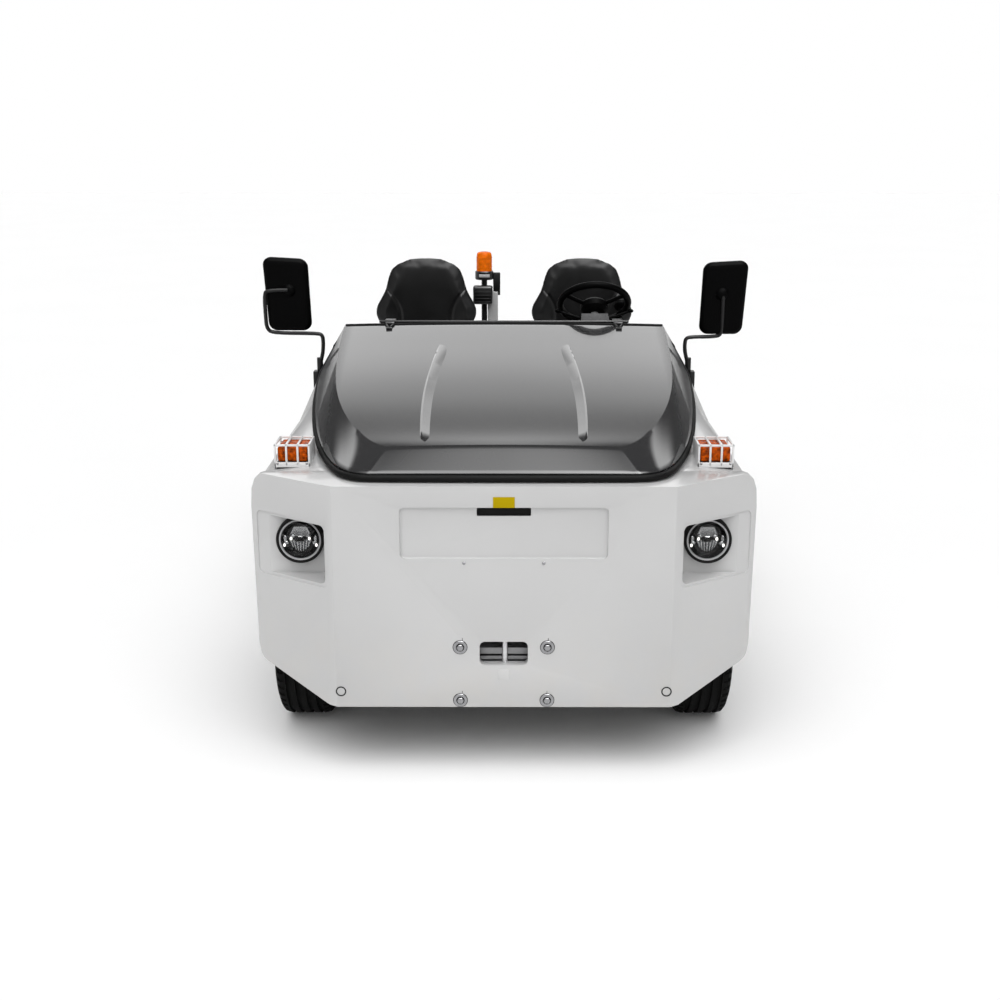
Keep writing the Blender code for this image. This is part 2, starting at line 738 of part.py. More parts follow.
# ---------------------------------------------------------------- cab
def make_cowl():
    near = COWL_FRONT
    edge = SIDE_HALF - 0.002
    outline = [(edge, FLOOR_TOP + SEAM), (edge, SIDE_EDGE - 0.01), (0.757, 1.16), (-0.757, 1.16),
               (-edge, SIDE_EDGE - 0.01), (-edge, FLOOR_TOP + SEAM)]
    return front_prism("cowl_panel", outline, near, near + COWL_T, "body_white")


def make_dashboard():
    near = COWL_FRONT + COWL_T + SEAM
    far = near + DASH_D
    top = HOOD_TOP - DASH_DROP
    outline = [(DASH_HALF, 1.08), (DASH_HALF, 1.18), (0.650, top), (-0.650, top), (-DASH_HALF, 1.18), (-DASH_HALF, 1.08)]
    dash = front_prism("dashboard", outline, near, far, "black_plastic")
    slope = side_prism("dash_slope", [(near + 0.10, 1.02), (far + 0.05, 1.02), (far + 0.05, 1.22)], -1, 1)
    return cut(dash, slope)


def make_floor():
    rear = SEAT_BOX_FRONT + 0.04
    edge = SIDE_HALF - REAR_WALL - SEAM
    floor = box("floor_pan", (-edge, back(FLOOR_FRONT), FLOOR_TOP - FLOOR_T), (edge, back(rear), FLOOR_TOP),
                "frame_black")
    step_front = COWL_FRONT + COWL_T + 0.02
    step_rear = SEAT_BOX_FRONT - 0.02
    wall = 0.015
    for side in (1, -1):
        riser_x = sorted((side * (RAIL_X - 0.04), side * (RAIL_X + 0.04)))
        join(floor, box(f"riser_{side}", (riser_x[0], back(FLOOR_FRONT), RAIL_LOW + RAIL_H + SEAM),
                        (riser_x[1], back(rear), FLOOR_TOP - FLOOR_T + 0.005)))
        xs = sorted((side * STEP_IN, side * edge))
        join(floor, box(f"step_{side}", (xs[0], back(step_front), STEP_TOP - 0.025),
                        (xs[1], back(step_rear), FLOOR_TOP - 0.01)))
    for side in (1, -1):
        xs = sorted((side * (STEP_IN + wall), side * 0.90))
        cut(floor, box(f"step_room_{side}", (xs[0], back(step_front + wall), STEP_TOP),
                       (xs[1], back(step_rear - wall), FLOOR_TOP + 0.05)))
    return floor


def make_seat_box():
    wall = 0.015
    outer = SIDE_HALF - REAR_WALL - SEAM
    seat_box = box("seat_box", (-outer, back(SEAT_BOX_FRONT), FLOOR_TOP + SEAM),
                   (outer, back(SEAT_BOX_REAR), SEAT_BOX_TOP), "body_white")
    room = box("seat_box_room", (-outer + wall, back(SEAT_BOX_FRONT + wall), FLOOR_TOP - 0.05),
               (outer - wall, back(SEAT_BOX_REAR - wall), SEAT_BOX_TOP - wall))
    return cut(seat_box, room)


def make_seat(side, label):
    x = side * SEAT_X
    low = SEAT_BOX_TOP + SEAM
    half = CUSHION_W / 2
    cushion = box(f"seat_cushion_{label}", (x - half, back(CUSHION_FRONT), low),
                  (x + half, back(CUSHION_FRONT + CUSHION_D), low + CUSHION_T), "vinyl", 0.03)
    half = BACKREST_W / 2
    base = low + CUSHION_T - 0.06
    outline = [(half * share, base + (BACKREST_TOP - base) * rise) for share, rise in BACKREST_SHAPE]
    points = [(x + u, v) for u, v in outline + mirrored(reversed(outline), -1)]
    near = BACKREST_Y
    rest = front_prism(f"seat_back_{label}", points, near, near + BACKREST_T, "vinyl")
    return cushion, rest


def make_steering_column():
    lean = Vector((0, math.sin(STEER_TILT), math.cos(STEER_TILT)))
    along = Vector((0, -math.cos(STEER_TILT), math.sin(STEER_TILT)))
    hub = Vector((STEER_X, STEER_Y, STEER_Z))
    top = hub - 0.070 * lean
    wall = COWL_FRONT + COWL_T + DASH_D + 2 * SEAM
    run = (top.y - wall) / math.cos(STEER_TILT)
    high = top + run * along
    low = top - 0.05 * along
    outline = [(wall, 1.18), (wall, high.z), (low.y, low.z), (low.y - 0.02, 1.30), (wall + 0.03, 1.18)]
    column = side_prism("steering_column", outline, STEER_X - 0.055, STEER_X + 0.055, "black_plastic")
    shaft = tube("steering_shaft", [tuple(hub - 0.080 * lean), tuple(hub - 0.030 * lean)], 0.018)
    return join(column, shaft)


def make_steering_wheel():
    centre = (STEER_X, back(STEER_Y), STEER_Z)
    turn = (-STEER_TILT, 0, 0)
    bm = bmesh.new()
    steps, sides = 40, 10
    rings = []
    for i in range(steps):
        a = 2 * math.pi * i / steps
        ring = []
        for j in range(sides):
            b = 2 * math.pi * j / sides
            r = STEER_R + STEER_RIM * math.cos(b)
            ring.append(bm.verts.new((r * math.cos(a), r * math.sin(a), STEER_RIM * math.sin(b))))
        rings.append(ring)
    for one, two in zip(rings, rings[1:] + rings[:1]):
        for j in range(sides):
            k = (j + 1) % sides
            bm.faces.new((one[j], one[k], two[k], two[j]))
    wheel = place("steering_wheel", mesh_from("steering_wheel", bm), centre, turn, "black_plastic")
    hub = turned("wheel_hub", [(0.0, 0.012), (0.030, 0.006), (0.042, -0.010), (0.042, -0.022), (0.0, -0.022)],
                 centre, turn, steps=28)
    join(wheel, hub)
    for number, angle in enumerate((90, 210, 330)):
        a = math.radians(angle)
        bm = bmesh.new()
        bmesh.ops.create_cube(bm, size=1)
        bmesh.ops.scale(bm, vec=(STEER_R, 0.024, 0.006), verts=bm.verts)
        bmesh.ops.translate(bm, vec=(STEER_R / 2, 0, -0.006), verts=bm.verts)
        bmesh.ops.rotate(bm, cent=(0, 0, 0), matrix=Matrix.Rotation(a, 3, "Z"), verts=bm.verts)
        join(wheel, place(f"spoke_{number}", mesh_from(f"spoke_{number}", bm), centre, turn))
    return wheel


def make_pedals():
    wall = COWL_FRONT + COWL_T + SEAM
    x0 = STEER_X
    bar = box("pedals", (x0 - 0.15, back(wall), 0.93), (x0 + 0.15, back(wall + 0.03), 0.96), "frame_black")
    for number, x in enumerate((x0 - 0.10, x0 + 0.10)):
        arm = [(wall + 0.005, 0.945), (wall + 0.025, 0.955), (wall + 0.125, 0.745), (wall + 0.112, 0.735)]
        pad = [(wall + 0.085, 0.79), (wall + 0.10, 0.795), (wall + 0.145, 0.69), (wall + 0.13, 0.685)]
        join(bar, side_prism(f"pedal_arm_{number}", arm, x - 0.008, x + 0.008),
             side_prism(f"pedal_pad_{number}", pad, x - 0.04, x + 0.04))
    return bar


# ---------------------------------------------------------------- mirrors and mast
def make_mirror(side, label):
    left, right = sorted((side * (MIRROR_X - MIRROR_W / 2), side * (MIRROR_X + MIRROR_W / 2)))
    straight = rounded(left, right, MIRROR_LOW, MIRROR_LOW + MIRROR_H, 0.035, 5)
    outline = [(u + side * (v - MIRROR_LOW) * math.tan(MIRROR_LEAN), v) for u, v in straight]
    head = front_prism(f"mirror_{label}", outline, MIRROR_Y, MIRROR_Y + MIRROR_T, "black_plastic")
    foot = DASH_HALF + SEAM
    arm_x = foot + 0.012
    y = MIRROR_Y + MIRROR_T / 2
    bar_z = MIRROR_LOW - 0.012
    path = [(arm_x, y, 1.10), (arm_x, y, bar_z - 0.03), (arm_x + 0.009, y, bar_z - 0.009),
            (arm_x + 0.03, y, bar_z), (MIRROR_X - 0.02, y, bar_z), (MIRROR_X, y, bar_z + 0.015),
            (MIRROR_X, y, MIRROR_LOW + 0.05)]
    arm = tube(f"mirror_arm_{label}", mirrored(path, side), ARM_R)
    xs = sorted((side * foot, side * (foot + 0.02)))
    plate = box(f"mirror_foot_{label}", (xs[0], back(y - 0.02), 1.095), (xs[1], back(y + 0.02), 1.175))
    return join(head, arm, plate)


def make_mast():
    half = MAST_W / 2
    mast = box("light_mast", (MAST_X - half, back(MAST_Y - half), SEAT_BOX_TOP + SEAM),
               (MAST_X + half, back(MAST_Y + half), MAST_TOP), "body_white")
    clamp_top = 1.12
    pole_low = 1.06
    pole = cylinder("beacon_pole", (POLE_X, back(MAST_Y), (pole_low + BEACON_LOW) / 2), POLE_R,
                    BEACON_LOW - pole_low - SEAM, steps=20)
    clamp = box("pole_clamp", (POLE_X - 0.02, back(MAST_Y - 0.02), clamp_top - 0.04),
                (MAST_X, back(MAST_Y + 0.02), clamp_top))
    clamp_high = box("pole_clamp_high", (POLE_X, back(MAST_Y - 0.02), MAST_TOP - 0.03),
                     (MAST_X, back(MAST_Y + 0.02), MAST_TOP - 0.01))
    bracket = box("beacon_bracket", (POLE_X + BEACON_R + SEAM, back(MAST_Y - 0.012), MAST_TOP - 0.02),
                  (MAST_X + half + 0.002, back(MAST_Y + 0.012), BEACON_LOW + 0.03))
    return join(mast, pole, clamp, clamp_high, bracket)


def make_beacon():
    height = BEACON_TOP - BEACON_LOW
    profile = [(0.0, height), (0.022, height - 0.001), (0.034, height - 0.010), (0.037, height - 0.030),
               (0.0375, 0.036), (BEACON_R, 0.034), (BEACON_R, 0.004), (BEACON_R - 0.003, 0.0), (0.0, 0.0)]
    return turned("beacon", profile, (POLE_X, back(MAST_Y), BEACON_LOW), slot="amber", steps=32)


def make_work_light():
    far = MAST_Y - MAST_W / 2 - SEAM
    return box("work_light", (POLE_X - 0.052, back(far - 0.055), 1.340), (POLE_X + 0.040, back(far), 1.425),
               "black_plastic", 0.008)


# ---------------------------------------------------------------- rear body
def make_rear_side(side, label):
    xs = sorted((side * (SIDE_HALF - REAR_WALL), side * SIDE_HALF))
    outline = [(SEAT_BOX_FRONT, SKIRT), (SEAT_BOX_FRONT, 0.86), (SEAT_BOX_FRONT + 0.12, DECK_TOP),
               (TAIL_FRONT - SEAM, DECK_TOP), (TAIL_FRONT - SEAM, SKIRT)]
    panel = side_prism(f"rear_side_{label}", outline, xs[0], xs[1], "body_white")
    arch = cylinder(f"rear_arch_{label}", (side * SIDE_HALF, back(REAR_AXLE), TYRE_R), TYRE_R + ARCH_GAP,
                    0.2, "X", steps=48)
    return cut(panel, arch)


def make_tail():
    outline = [(SIDE_HALF, 0.33), (SIDE_HALF, DECK_TOP), (-SIDE_HALF, DECK_TOP), (-SIDE_HALF, 0.33),
               (-0.77, 0.27), (0.77, 0.27)]
    return front_prism("rear_panel", outline, TAIL_FRONT, TAIL_FRONT + TAIL_T, "body_white")


def make_deck_lid():
    half = SIDE_HALF - REAR_WALL - SWING
    return box("deck_lid", (-half, back(SEAT_BOX_REAR + SWING), DECK_TOP - DECK_T),
               (half, back(TAIL_FRONT - SWING), DECK_TOP), "body_white")


def make_battery():
    return box("battery_block", (-0.50, back(2.42), RAIL_LOW + RAIL_H + SEAM), (0.50, back(3.02), 0.90),
               "black_plastic")


def make_tail_light(side, label):
    xs = sorted((side * 0.60, side * 0.74))
    near = TAIL_FRONT + TAIL_T + SEAM
    return box(f"tail_light_{label}", (xs[0], back(near), 0.78), (xs[1], back(near + 0.022), 0.85), "red_lens", 0.005)


def make_hitch():
    near = TAIL_FRONT + TAIL_T + SEAM
    top = HITCH_LOW + (HITCH_LEVELS - 1) * HITCH_PITCH + HITCH_PLATE
    hitch = box("tow_hitch", (-0.12, back(near), HITCH_LOW - 0.02), (0.12, back(near + 0.02), top + 0.02), "steel")
    for level in range(HITCH_LEVELS):
        z = HITCH_LOW + level * HITCH_PITCH
        plate = box(f"jaw_{level}", (-HITCH_HALF, back(near + 0.01), z), (HITCH_HALF, back(LENGTH), z + HITCH_PLATE))
        join(hitch, plate)
    y = back(hitch_pin_y())
    cut(hitch, cylinder("pin_bore", (0, y, 0.45), PIN_BORE, 0.5, steps=32))
    return hitch


def hitch_pin_y():
    return LENGTH - 0.045


def make_tow_pin():
    top = HITCH_LOW + (HITCH_LEVELS - 1) * HITCH_PITCH + HITCH_PLATE
    length = top - HITCH_LOW + 0.02
    profile = [(0.0, 0.05), (0.016, 0.048), (0.020, 0.040), (0.016, 0.028), (0.010, 0.022), (0.012, 0.016),
               (0.026, 0.013), (0.026, SEAM), (PIN_R, SEAM), (PIN_R, -length + 0.008), (0.006, -length),
               (0.0, -length)]
    return turned("tow_pin", profile, (0, back(hitch_pin_y()), top), slot="steel", steps=24)


# ---------------------------------------------------------------- assembly
SIDES = ((1, "left"), (-1, "right"))

make_frame()
make_front_axle()
make_rear_axle()
make_front_plate()
make_front_coupling()
make_seal()
make_hinges()
make_cowl()
make_dashboard()
make_floor()
make_seat_box()
make_steering_column()
make_pedals()
make_mast()
make_beacon()
make_work_light()
make_tail()
make_battery()
make_hitch()

for side, label in SIDES:
    make_fender(side, label)
    make_signal(side, label)
    make_headlight(side, label)
    make_seat(side, label)
    make_mirror(side, label)
    make_rear_side(side, label)
    make_tail_light(side, label)
    kingpin = pivot(f"kingpin_{label}", (side * KINGPIN_X, back(FRONT_AXLE), TYRE_R))
    hang(make_knuckle(side, label), kingpin)
    for piece in make_wheel(side, f"front_{label}", FRONT_AXLE):
        hang(piece, kingpin)
    make_wheel(side, f"rear_{label}", REAR_AXLE)

hood_axis = pivot("hood_axis", (0, back(HOOD_REAR + 0.012), HOOD_TOP + 0.012))
hang(make_hood(), hood_axis)
deck_axis = pivot("deck_axis", (0, back(SEAT_BOX_REAR + SWING), DECK_TOP))
hang(make_deck_lid(), deck_axis)
make_steering_wheel()
make_tow_pin()
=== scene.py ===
import json
import math

import bmesh
import bpy
from bpy.props import FloatProperty, FloatVectorProperty, IntProperty, PointerProperty
from mathutils import Matrix, Vector
from mathutils.bvhtree import BVHTree

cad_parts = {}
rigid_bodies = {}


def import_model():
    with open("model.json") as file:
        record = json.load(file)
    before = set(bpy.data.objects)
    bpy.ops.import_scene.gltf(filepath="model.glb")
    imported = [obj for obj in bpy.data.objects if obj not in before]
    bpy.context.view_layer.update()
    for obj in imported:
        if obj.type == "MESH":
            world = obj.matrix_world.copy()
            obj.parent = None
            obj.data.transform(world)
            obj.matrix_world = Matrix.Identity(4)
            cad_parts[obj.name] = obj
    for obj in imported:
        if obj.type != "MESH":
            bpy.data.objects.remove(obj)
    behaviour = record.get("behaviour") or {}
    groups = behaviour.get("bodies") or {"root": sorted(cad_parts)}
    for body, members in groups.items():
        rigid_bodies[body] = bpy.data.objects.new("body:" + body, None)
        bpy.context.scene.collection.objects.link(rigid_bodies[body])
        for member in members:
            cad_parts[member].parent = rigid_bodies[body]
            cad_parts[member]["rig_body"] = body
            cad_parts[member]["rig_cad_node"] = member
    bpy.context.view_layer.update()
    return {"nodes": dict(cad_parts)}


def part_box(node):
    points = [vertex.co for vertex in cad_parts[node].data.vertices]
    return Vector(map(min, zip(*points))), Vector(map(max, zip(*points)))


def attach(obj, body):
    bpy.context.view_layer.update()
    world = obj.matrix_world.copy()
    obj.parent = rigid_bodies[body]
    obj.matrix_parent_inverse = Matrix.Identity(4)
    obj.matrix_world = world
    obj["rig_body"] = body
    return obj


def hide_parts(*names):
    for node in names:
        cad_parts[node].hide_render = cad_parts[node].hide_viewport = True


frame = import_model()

bl_info = {
    "name": "Baggage tug looks",
    "version": (1, 0, 0),
    "blender": (4, 5, 0),
    "location": "3D View > Sidebar > Tug",
    "description": "Builds the visible pieces and finishes of an electric baggage tug around its frame",
    "category": "Object",
}

SIDES = ((1, "left"), (-1, "right"))
AXLES = ("front", "rear")
SAME_PLACE = 0.00002  # corners closer together than this are merged
CENTRE = (0, 0, 0)
TURNS = {"X": (0, math.pi / 2, 0), "-X": (0, -math.pi / 2, 0), "Y": (-math.pi / 2, 0, 0),
         "-Y": (math.pi / 2, 0, 0), "Z": (0, 0, 0)}
TO_OTHER_SIDE = Matrix.Scale(-1, 4, (1, 0, 0))


# ---------------------------------------------------------------- places read from the frame
def low(node):
    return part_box(node)[0]


def high(node):
    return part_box(node)[1]


def middle(node):
    a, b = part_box(node)
    return (a + b) / 2


FRONT_Y = low("front_bumper").y


def behind(distance):
    """Y of a place that lies so far behind the front plate."""
    return FRONT_Y + distance


# ---------------------------------------------------------------- material maths
class Val:
    """A socket that adds Math nodes when it is used in an expression."""

    def __init__(self, mat, socket):
        self.mat = mat
        self.socket = socket

    def _math(self, operation, *values):
        return self.mat.node("ShaderNodeMath", {"operation": operation, "use_clamp": False},
                             dict(enumerate(values)))

    def __add__(self, other):
        return self._math("ADD", self, other)

    __radd__ = __add__

    def __sub__(self, other):
        return self._math("SUBTRACT", self, other)

    def __rsub__(self, other):
        return self._math("SUBTRACT", other, self)

    def __mul__(self, other):
        return self._math("MULTIPLY", self, other)

    __rmul__ = __mul__

    def __truediv__(self, other):
        return self._math("DIVIDE", self, other)

    def __pow__(self, other):
        return self._math("POWER", self, other)

    def minimum(self, other):
        return self._math("MINIMUM", self, other)

    def maximum(self, other):
        return self._math("MAXIMUM", self, other)

    def clamp(self):
        return self.maximum(0.0).minimum(1.0)

    def sine(self):
        return self._math("SINE", self)

    def absolute(self):
        return self._math("ABSOLUTE", self)

    def step(self, start, end):
        """0 before start, 1 after end, even between them."""
        return ((self - start) / (end - start)).clamp()


class Paint:
    """A material with one Principled shader, and short ways to add nodes to it."""

    def __init__(self, name, color=(0.5, 0.5, 0.5), roughness=0.5, metallic=0.0, **fixed):
        self.data = bpy.data.materials.new(name)
        self.data.use_nodes = True
        self.tree = self.data.node_tree
        self.shader = self.tree.nodes["Principled BSDF"]
        self.set("Base Color", color)
        self.set("Roughness", roughness)
        self.set("Metallic", metallic)
        for key, value in fixed.items():
            self.set(key.replace("_", " "), value)
        self.coordinates = self.node("ShaderNodeTexCoord", {}, {}, "Object")

    def plug(self, socket, value):
        if isinstance(value, Val):
            self.tree.links.new(value.socket, socket)
        elif isinstance(value, (tuple, list)) and socket.type == "RGBA" and len(value) == 3:
            socket.default_value = (*value, 1.0)
        else:
            socket.default_value = value

    def set(self, name, value):
        self.plug(self.shader.inputs[name], value)

    def node(self, kind, settings, values, output=0):
        made = self.tree.nodes.new(kind)
        for key, value in settings.items():
            setattr(made, key, value)
        for key, value in values.items():
            self.plug(made.inputs[key], value)
        return Val(self, made.outputs[output])

    def noise(self, scale, detail=3.0, roughness=0.5, where=None):
        return self.node("ShaderNodeTexNoise", {}, {
            "Vector": where or self.coordinates, "Scale": scale, "Detail": detail, "Roughness": roughness})

    def cells(self, scale, feature="DISTANCE_TO_EDGE"):
        return self.node("ShaderNodeTexVoronoi", {"feature": feature}, {
            "Vector": self.coordinates, "Scale": scale, "Randomness": 1.0}, "Distance")

    def axis(self, letter):
        return self.node("ShaderNodeSeparateXYZ", {}, {"Vector": self.coordinates}, letter)

    def stretched(self, scale):
        return self.node("ShaderNodeMapping", {}, {"Vector": self.coordinates, "Scale": scale})

    def mix(self, factor, one, two):
        made = self.tree.nodes.new("ShaderNodeMix")
        made.data_type = "RGBA"
        self.plug(made.inputs["Factor"], factor)
        self.plug(made.inputs["A"], one)
        self.plug(made.inputs["B"], two)
        return Val(self, [s for s in made.outputs if s.type == "RGBA"][0])

    def bump(self, height, strength, distance):
        self.set("Normal", self.node("ShaderNodeBump", {}, {
            "Height": height, "Strength": strength, "Distance": distance}))
        return self


def shade(color, amount):
    return tuple(max(0.0, c * amount) for c in color)


def enamel(name, color, roughness=0.32):
    """Sprayed enamel: orange peel, faint cloudiness, and road film towards the bottom."""
    paint = Paint(name, color, roughness, Coat_Weight=0.35, Coat_Roughness=0.08)
    cloud = paint.noise(2.5, 4.0)
    film = (1 - paint.axis("Z").step(0.22, 0.62)) * paint.noise(9.0, 5.0, 0.65).step(0.40, 0.75) * 0.35
    base = paint.mix(cloud.step(0.3, 0.7), shade(color, 0.965), color)
    paint.set("Base Color", paint.mix(film, base, shade((0.62, 0.58, 0.52), 0.9)))
    paint.set("Roughness", roughness + film * 0.5 + (paint.noise(38.0, 2.0) - 0.5) * 0.10)
    return paint.bump(paint.noise(420.0, 2.0), 0.10, 0.0006)


def gloss(name, color):
    """Polished dark gel coat with a faint long wave and very fine swirl marks."""
    paint = Paint(name, color, 0.12, Coat_Weight=1.0, Coat_Roughness=0.03, Specular_IOR_Level=0.2)
    paint.set("Base Color", paint.mix(paint.noise(3.0, 3.0).step(0.3, 0.7), shade(color, 0.85), color))
    flank = paint.axis("X").absolute().step(0.60, 0.70)
    paint.set("Roughness", 0.12 + paint.noise(55.0, 6.0, 0.7).step(0.45, 0.8) * 0.10 + flank * 0.40)
    paint.set("Coat Weight", 1.0 - flank * 0.97)
    return paint.bump(paint.noise(1.6, 1.0), 0.06, 0.02)


def grained(name, color, roughness=0.5, grain=900.0, strength=0.25, shine=0.5):
    """Moulded plastic with an etched grain."""
    paint = Paint(name, color, roughness, Specular_IOR_Level=shine)
    paint.set("Base Color", paint.mix(paint.noise(7.0, 4.0).step(0.3, 0.8), shade(color, 0.75),
                                      shade(color, 1.25)))
    paint.set("Roughness", roughness + (paint.noise(24.0, 3.0) - 0.5) * 0.18)
    return paint.bump(paint.cells(grain), strength, 0.0007)


def rubber(name, color, roughness=0.78):
    paint = Paint(name, color, roughness, Specular_IOR_Level=0.12)
    dust = paint.noise(14.0, 6.0, 0.7).step(0.45, 0.85)
    paint.set("Base Color", paint.mix(dust * 0.05, color, (0.10, 0.095, 0.085)))
    paint.set("Roughness", roughness + dust * 0.15)
    return paint.bump(paint.noise(260.0, 4.0, 0.6), 0.25, 0.0008)


def bare_metal(name, color, roughness=0.35, brushed=False):
    paint = Paint(name, color, roughness, 1.0)
    where = paint.stretched((1.0, 1.0, 40.0)) if brushed else paint.coordinates
    mark = paint.noise(60.0, 5.0, 0.65, where)
    paint.set("Base Color", paint.mix(mark.step(0.3, 0.75), shade(color, 0.8), color))
    paint.set("Roughness", roughness + (mark - 0.5) * 0.35)
    return paint.bump(mark, 0.12, 0.0006)


def vinyl(name, color):
    """Seat vinyl: pebbled grain with soft wear."""
    paint = Paint(name, color, 0.42, Specular_IOR_Level=0.32)
    pebble = paint.cells(420.0, "F1")
    wear = paint.noise(11.0, 5.0, 0.6).step(0.45, 0.8)
    paint.set("Base Color", paint.mix(wear, shade(color, 0.8), shade(color, 1.5)))
    paint.set("Roughness", 0.33 + pebble * 0.12 + wear * 0.08)
    return paint.bump(pebble + paint.noise(900.0, 2.0) * 0.4, 0.16, 0.0005)


def lens(name, color, glow=0.0, depth=0.5):
    """Tinted moulded lens with fluted depth."""
    paint = Paint(name, color, 0.20, Specular_IOR_Level=0.10)
    deep = paint.noise(64.0, 3.0).step(0.32, 0.68)
    paint.set("Base Color", paint.mix(deep, shade(color, depth), shade(color, 1.2)))
    if glow:
        paint.set("Emission Color", paint.mix(deep, shade(color, 0.5), color))
        paint.set("Emission Strength", glow)
    return paint.bump(paint.noise(30.0, 1.0), 0.05, 0.002)


def tread_plate(name, color, roughness, metallic):
    """Raised oblong studs that alternate in direction, on a worn sheet."""
    paint = Paint(name, color, roughness, metallic)
    pitch = 1 / 0.032
    x = paint.axis("X") * (math.pi * pitch)
    y = paint.axis("Y") * (math.pi * pitch)
    one = ((x + y).sine().absolute() ** 6.0) * ((x - y).sine().absolute() ** 1.5)
    stud = one.step(0.25, 0.6)
    wear = paint.noise(22.0, 5.0, 0.6).step(0.4, 0.75)
    paint.set("Base Color", paint.mix(stud * wear, shade(color, 0.8), shade(color, 1.8)))
    paint.set("Roughness", roughness + 0.15 * wear - stud * 0.12)
    return paint.bump(stud, 0.6, 0.002)


PAINTS = {}


def prepare_paints(look):
    white = tuple(look.body_color)
    PAINTS.update({
        "body": enamel("body enamel", white),
        "rim": enamel("rim enamel", shade(white, 0.72), 0.4),
        # The cage enamel is the body white made half again as bright: painted light, so the bars look lit
        # where they stand in shade.
        "cage": enamel("cage enamel brightened as painted light", shade(white, 1.5), 0.38),
        "hood": gloss("hood gloss", tuple(look.hood_color)),
        "chassis": enamel("chassis black", (0.018, 0.018, 0.019), 0.45),
        "plastic": grained("black plastic", (0.010, 0.010, 0.011), 0.5, 900.0, 0.25, 0.4),
        "smooth": grained("smooth black", (0.005, 0.005, 0.0055), 0.32, 1500.0, 0.08, 0.5),
        "mirror_shell": grained("mirror shell", (0.0008, 0.0008, 0.0009), 0.5, 1300.0, 0.12, 0.04),
        "console": grained("console grey", (0.24, 0.24, 0.245), 0.28, 1300.0, 0.08),
        "seal": rubber("edge rubber", (0.006, 0.006, 0.006), 0.6),
        "tyre": rubber("tyre rubber", (0.0022, 0.0022, 0.0022), 0.8),
        "mat": rubber("floor mat", (0.016, 0.016, 0.016), 0.8),
        "vinyl": vinyl("seat vinyl", tuple(look.seat_color)),
        "zinc_bright": bare_metal("bright pin", (0.72, 0.72, 0.73), 0.35),
        "coupler": bare_metal("coupler steel", (0.27, 0.27, 0.275), 0.45),
        "zinc": bare_metal("zinc steel", (0.36, 0.36, 0.37), 0.30),
        "steel": bare_metal("machined steel", (0.50, 0.50, 0.51), 0.30, True),
        "chrome": bare_metal("bright reflector", (0.34, 0.345, 0.35), 0.16),
        "ring": enamel("lamp ring", (0.42, 0.42, 0.43), 0.25),
        "inner": grained("lamp inner", (0.004, 0.004, 0.0042), 0.30, 1500.0, 0.05, 0.3),
        "pole": grained("pole black", (0.006, 0.006, 0.0062), 0.4, 1300.0, 0.1, 0.3),
        "glass": Paint("lens glass", (0.02, 0.02, 0.02), 0.02, Alpha=0.05, Specular_IOR_Level=0.3),
        "mirror": bare_metal("mirror glass", (0.80, 0.82, 0.84), 0.02),
        "amber": lens("amber lens", (0.62, 0.095, 0.0008), 0.04, 0.10),
        "beacon": lens("beacon lens", (0.80, 0.15, 0.002), 0.05, 0.80),
        "red": lens("red lens", (0.55, 0.01, 0.008)),
        "clear": lens("white lamp lens", (0.75, 0.76, 0.78)),
        "led": Paint("lamp chip", (1.0, 0.98, 0.94), 0.2, Emission_Color=(1, 0.98, 0.94),
                     Emission_Strength=1.4),
        "label": Paint("yellow label", (0.40, 0.29, 0.001), 0.55, Specular_IOR_Level=0.05),
        "decal": enamel("pale label", shade(white, 1.06), 0.3),
        "deck": tread_plate("deck tread plate", (0.45, 0.45, 0.46), 0.38, 0.9),
        "battery": grained("battery case", (0.03, 0.03, 0.033), 0.45),
    })


# ---------------------------------------------------------------- modelling by hand
def clear_selection():
    if bpy.context.object and bpy.context.object.mode != "OBJECT":
        bpy.ops.object.mode_set(mode="OBJECT")
    bpy.ops.object.select_all(action="DESELECT")


def named(name):
    obj = bpy.context.object
    obj.name = name
    obj.data.name = name
    return obj


def activate(obj):
    """Make this the only selected object."""
    clear_selection()
    obj.select_set(True)
    bpy.context.view_layer.objects.active = obj


def edit_all(obj):
    """Enter edit mode with the whole mesh selected."""
    activate(obj)
    bpy.ops.object.mode_set(mode="EDIT")
    bpy.ops.mesh.select_all(action="SELECT")


def leave_edit(obj):
    bpy.ops.object.mode_set(mode="OBJECT")
    return obj


def linked(name, data):
    """A new object in the scene for the data."""
    obj = bpy.data.objects.new(name, data)
    bpy.context.scene.collection.objects.link(obj)
    return obj


def settle(obj):
    """Put the object's place and turn into its mesh."""
    activate(obj)
    bpy.ops.object.transform_apply(location=True, rotation=True, scale=True)
    return obj


def block(name, corner_a, corner_b):
    a = Vector(corner_a)
    b = Vector(corner_b)
    clear_selection()
    bpy.ops.mesh.primitive_cube_add(size=1, location=(a + b) / 2, scale=b - a)
    return settle(named(name))


def disc(name, centre, radius, depth, axis, vertices):
    clear_selection()
    bpy.ops.mesh.primitive_cylinder_add(vertices=vertices, radius=radius, depth=depth, location=centre,
                                        rotation=TURNS[axis])
    return settle(named(name))


def ball(name, centre, radius, scale, segments):
    clear_selection()
    bpy.ops.mesh.primitive_uv_sphere_add(segments=segments, ring_count=segments // 2, radius=radius,
                                         location=centre, scale=scale)
    return settle(named(name))


def ring(name, centre, radius, bar, axis, segments):
    clear_selection()
    bpy.ops.mesh.primitive_torus_add(major_radius=radius, minor_radius=bar, major_segments=segments,
                                     minor_segments=12, location=centre, rotation=TURNS[axis])
    return settle(named(name))


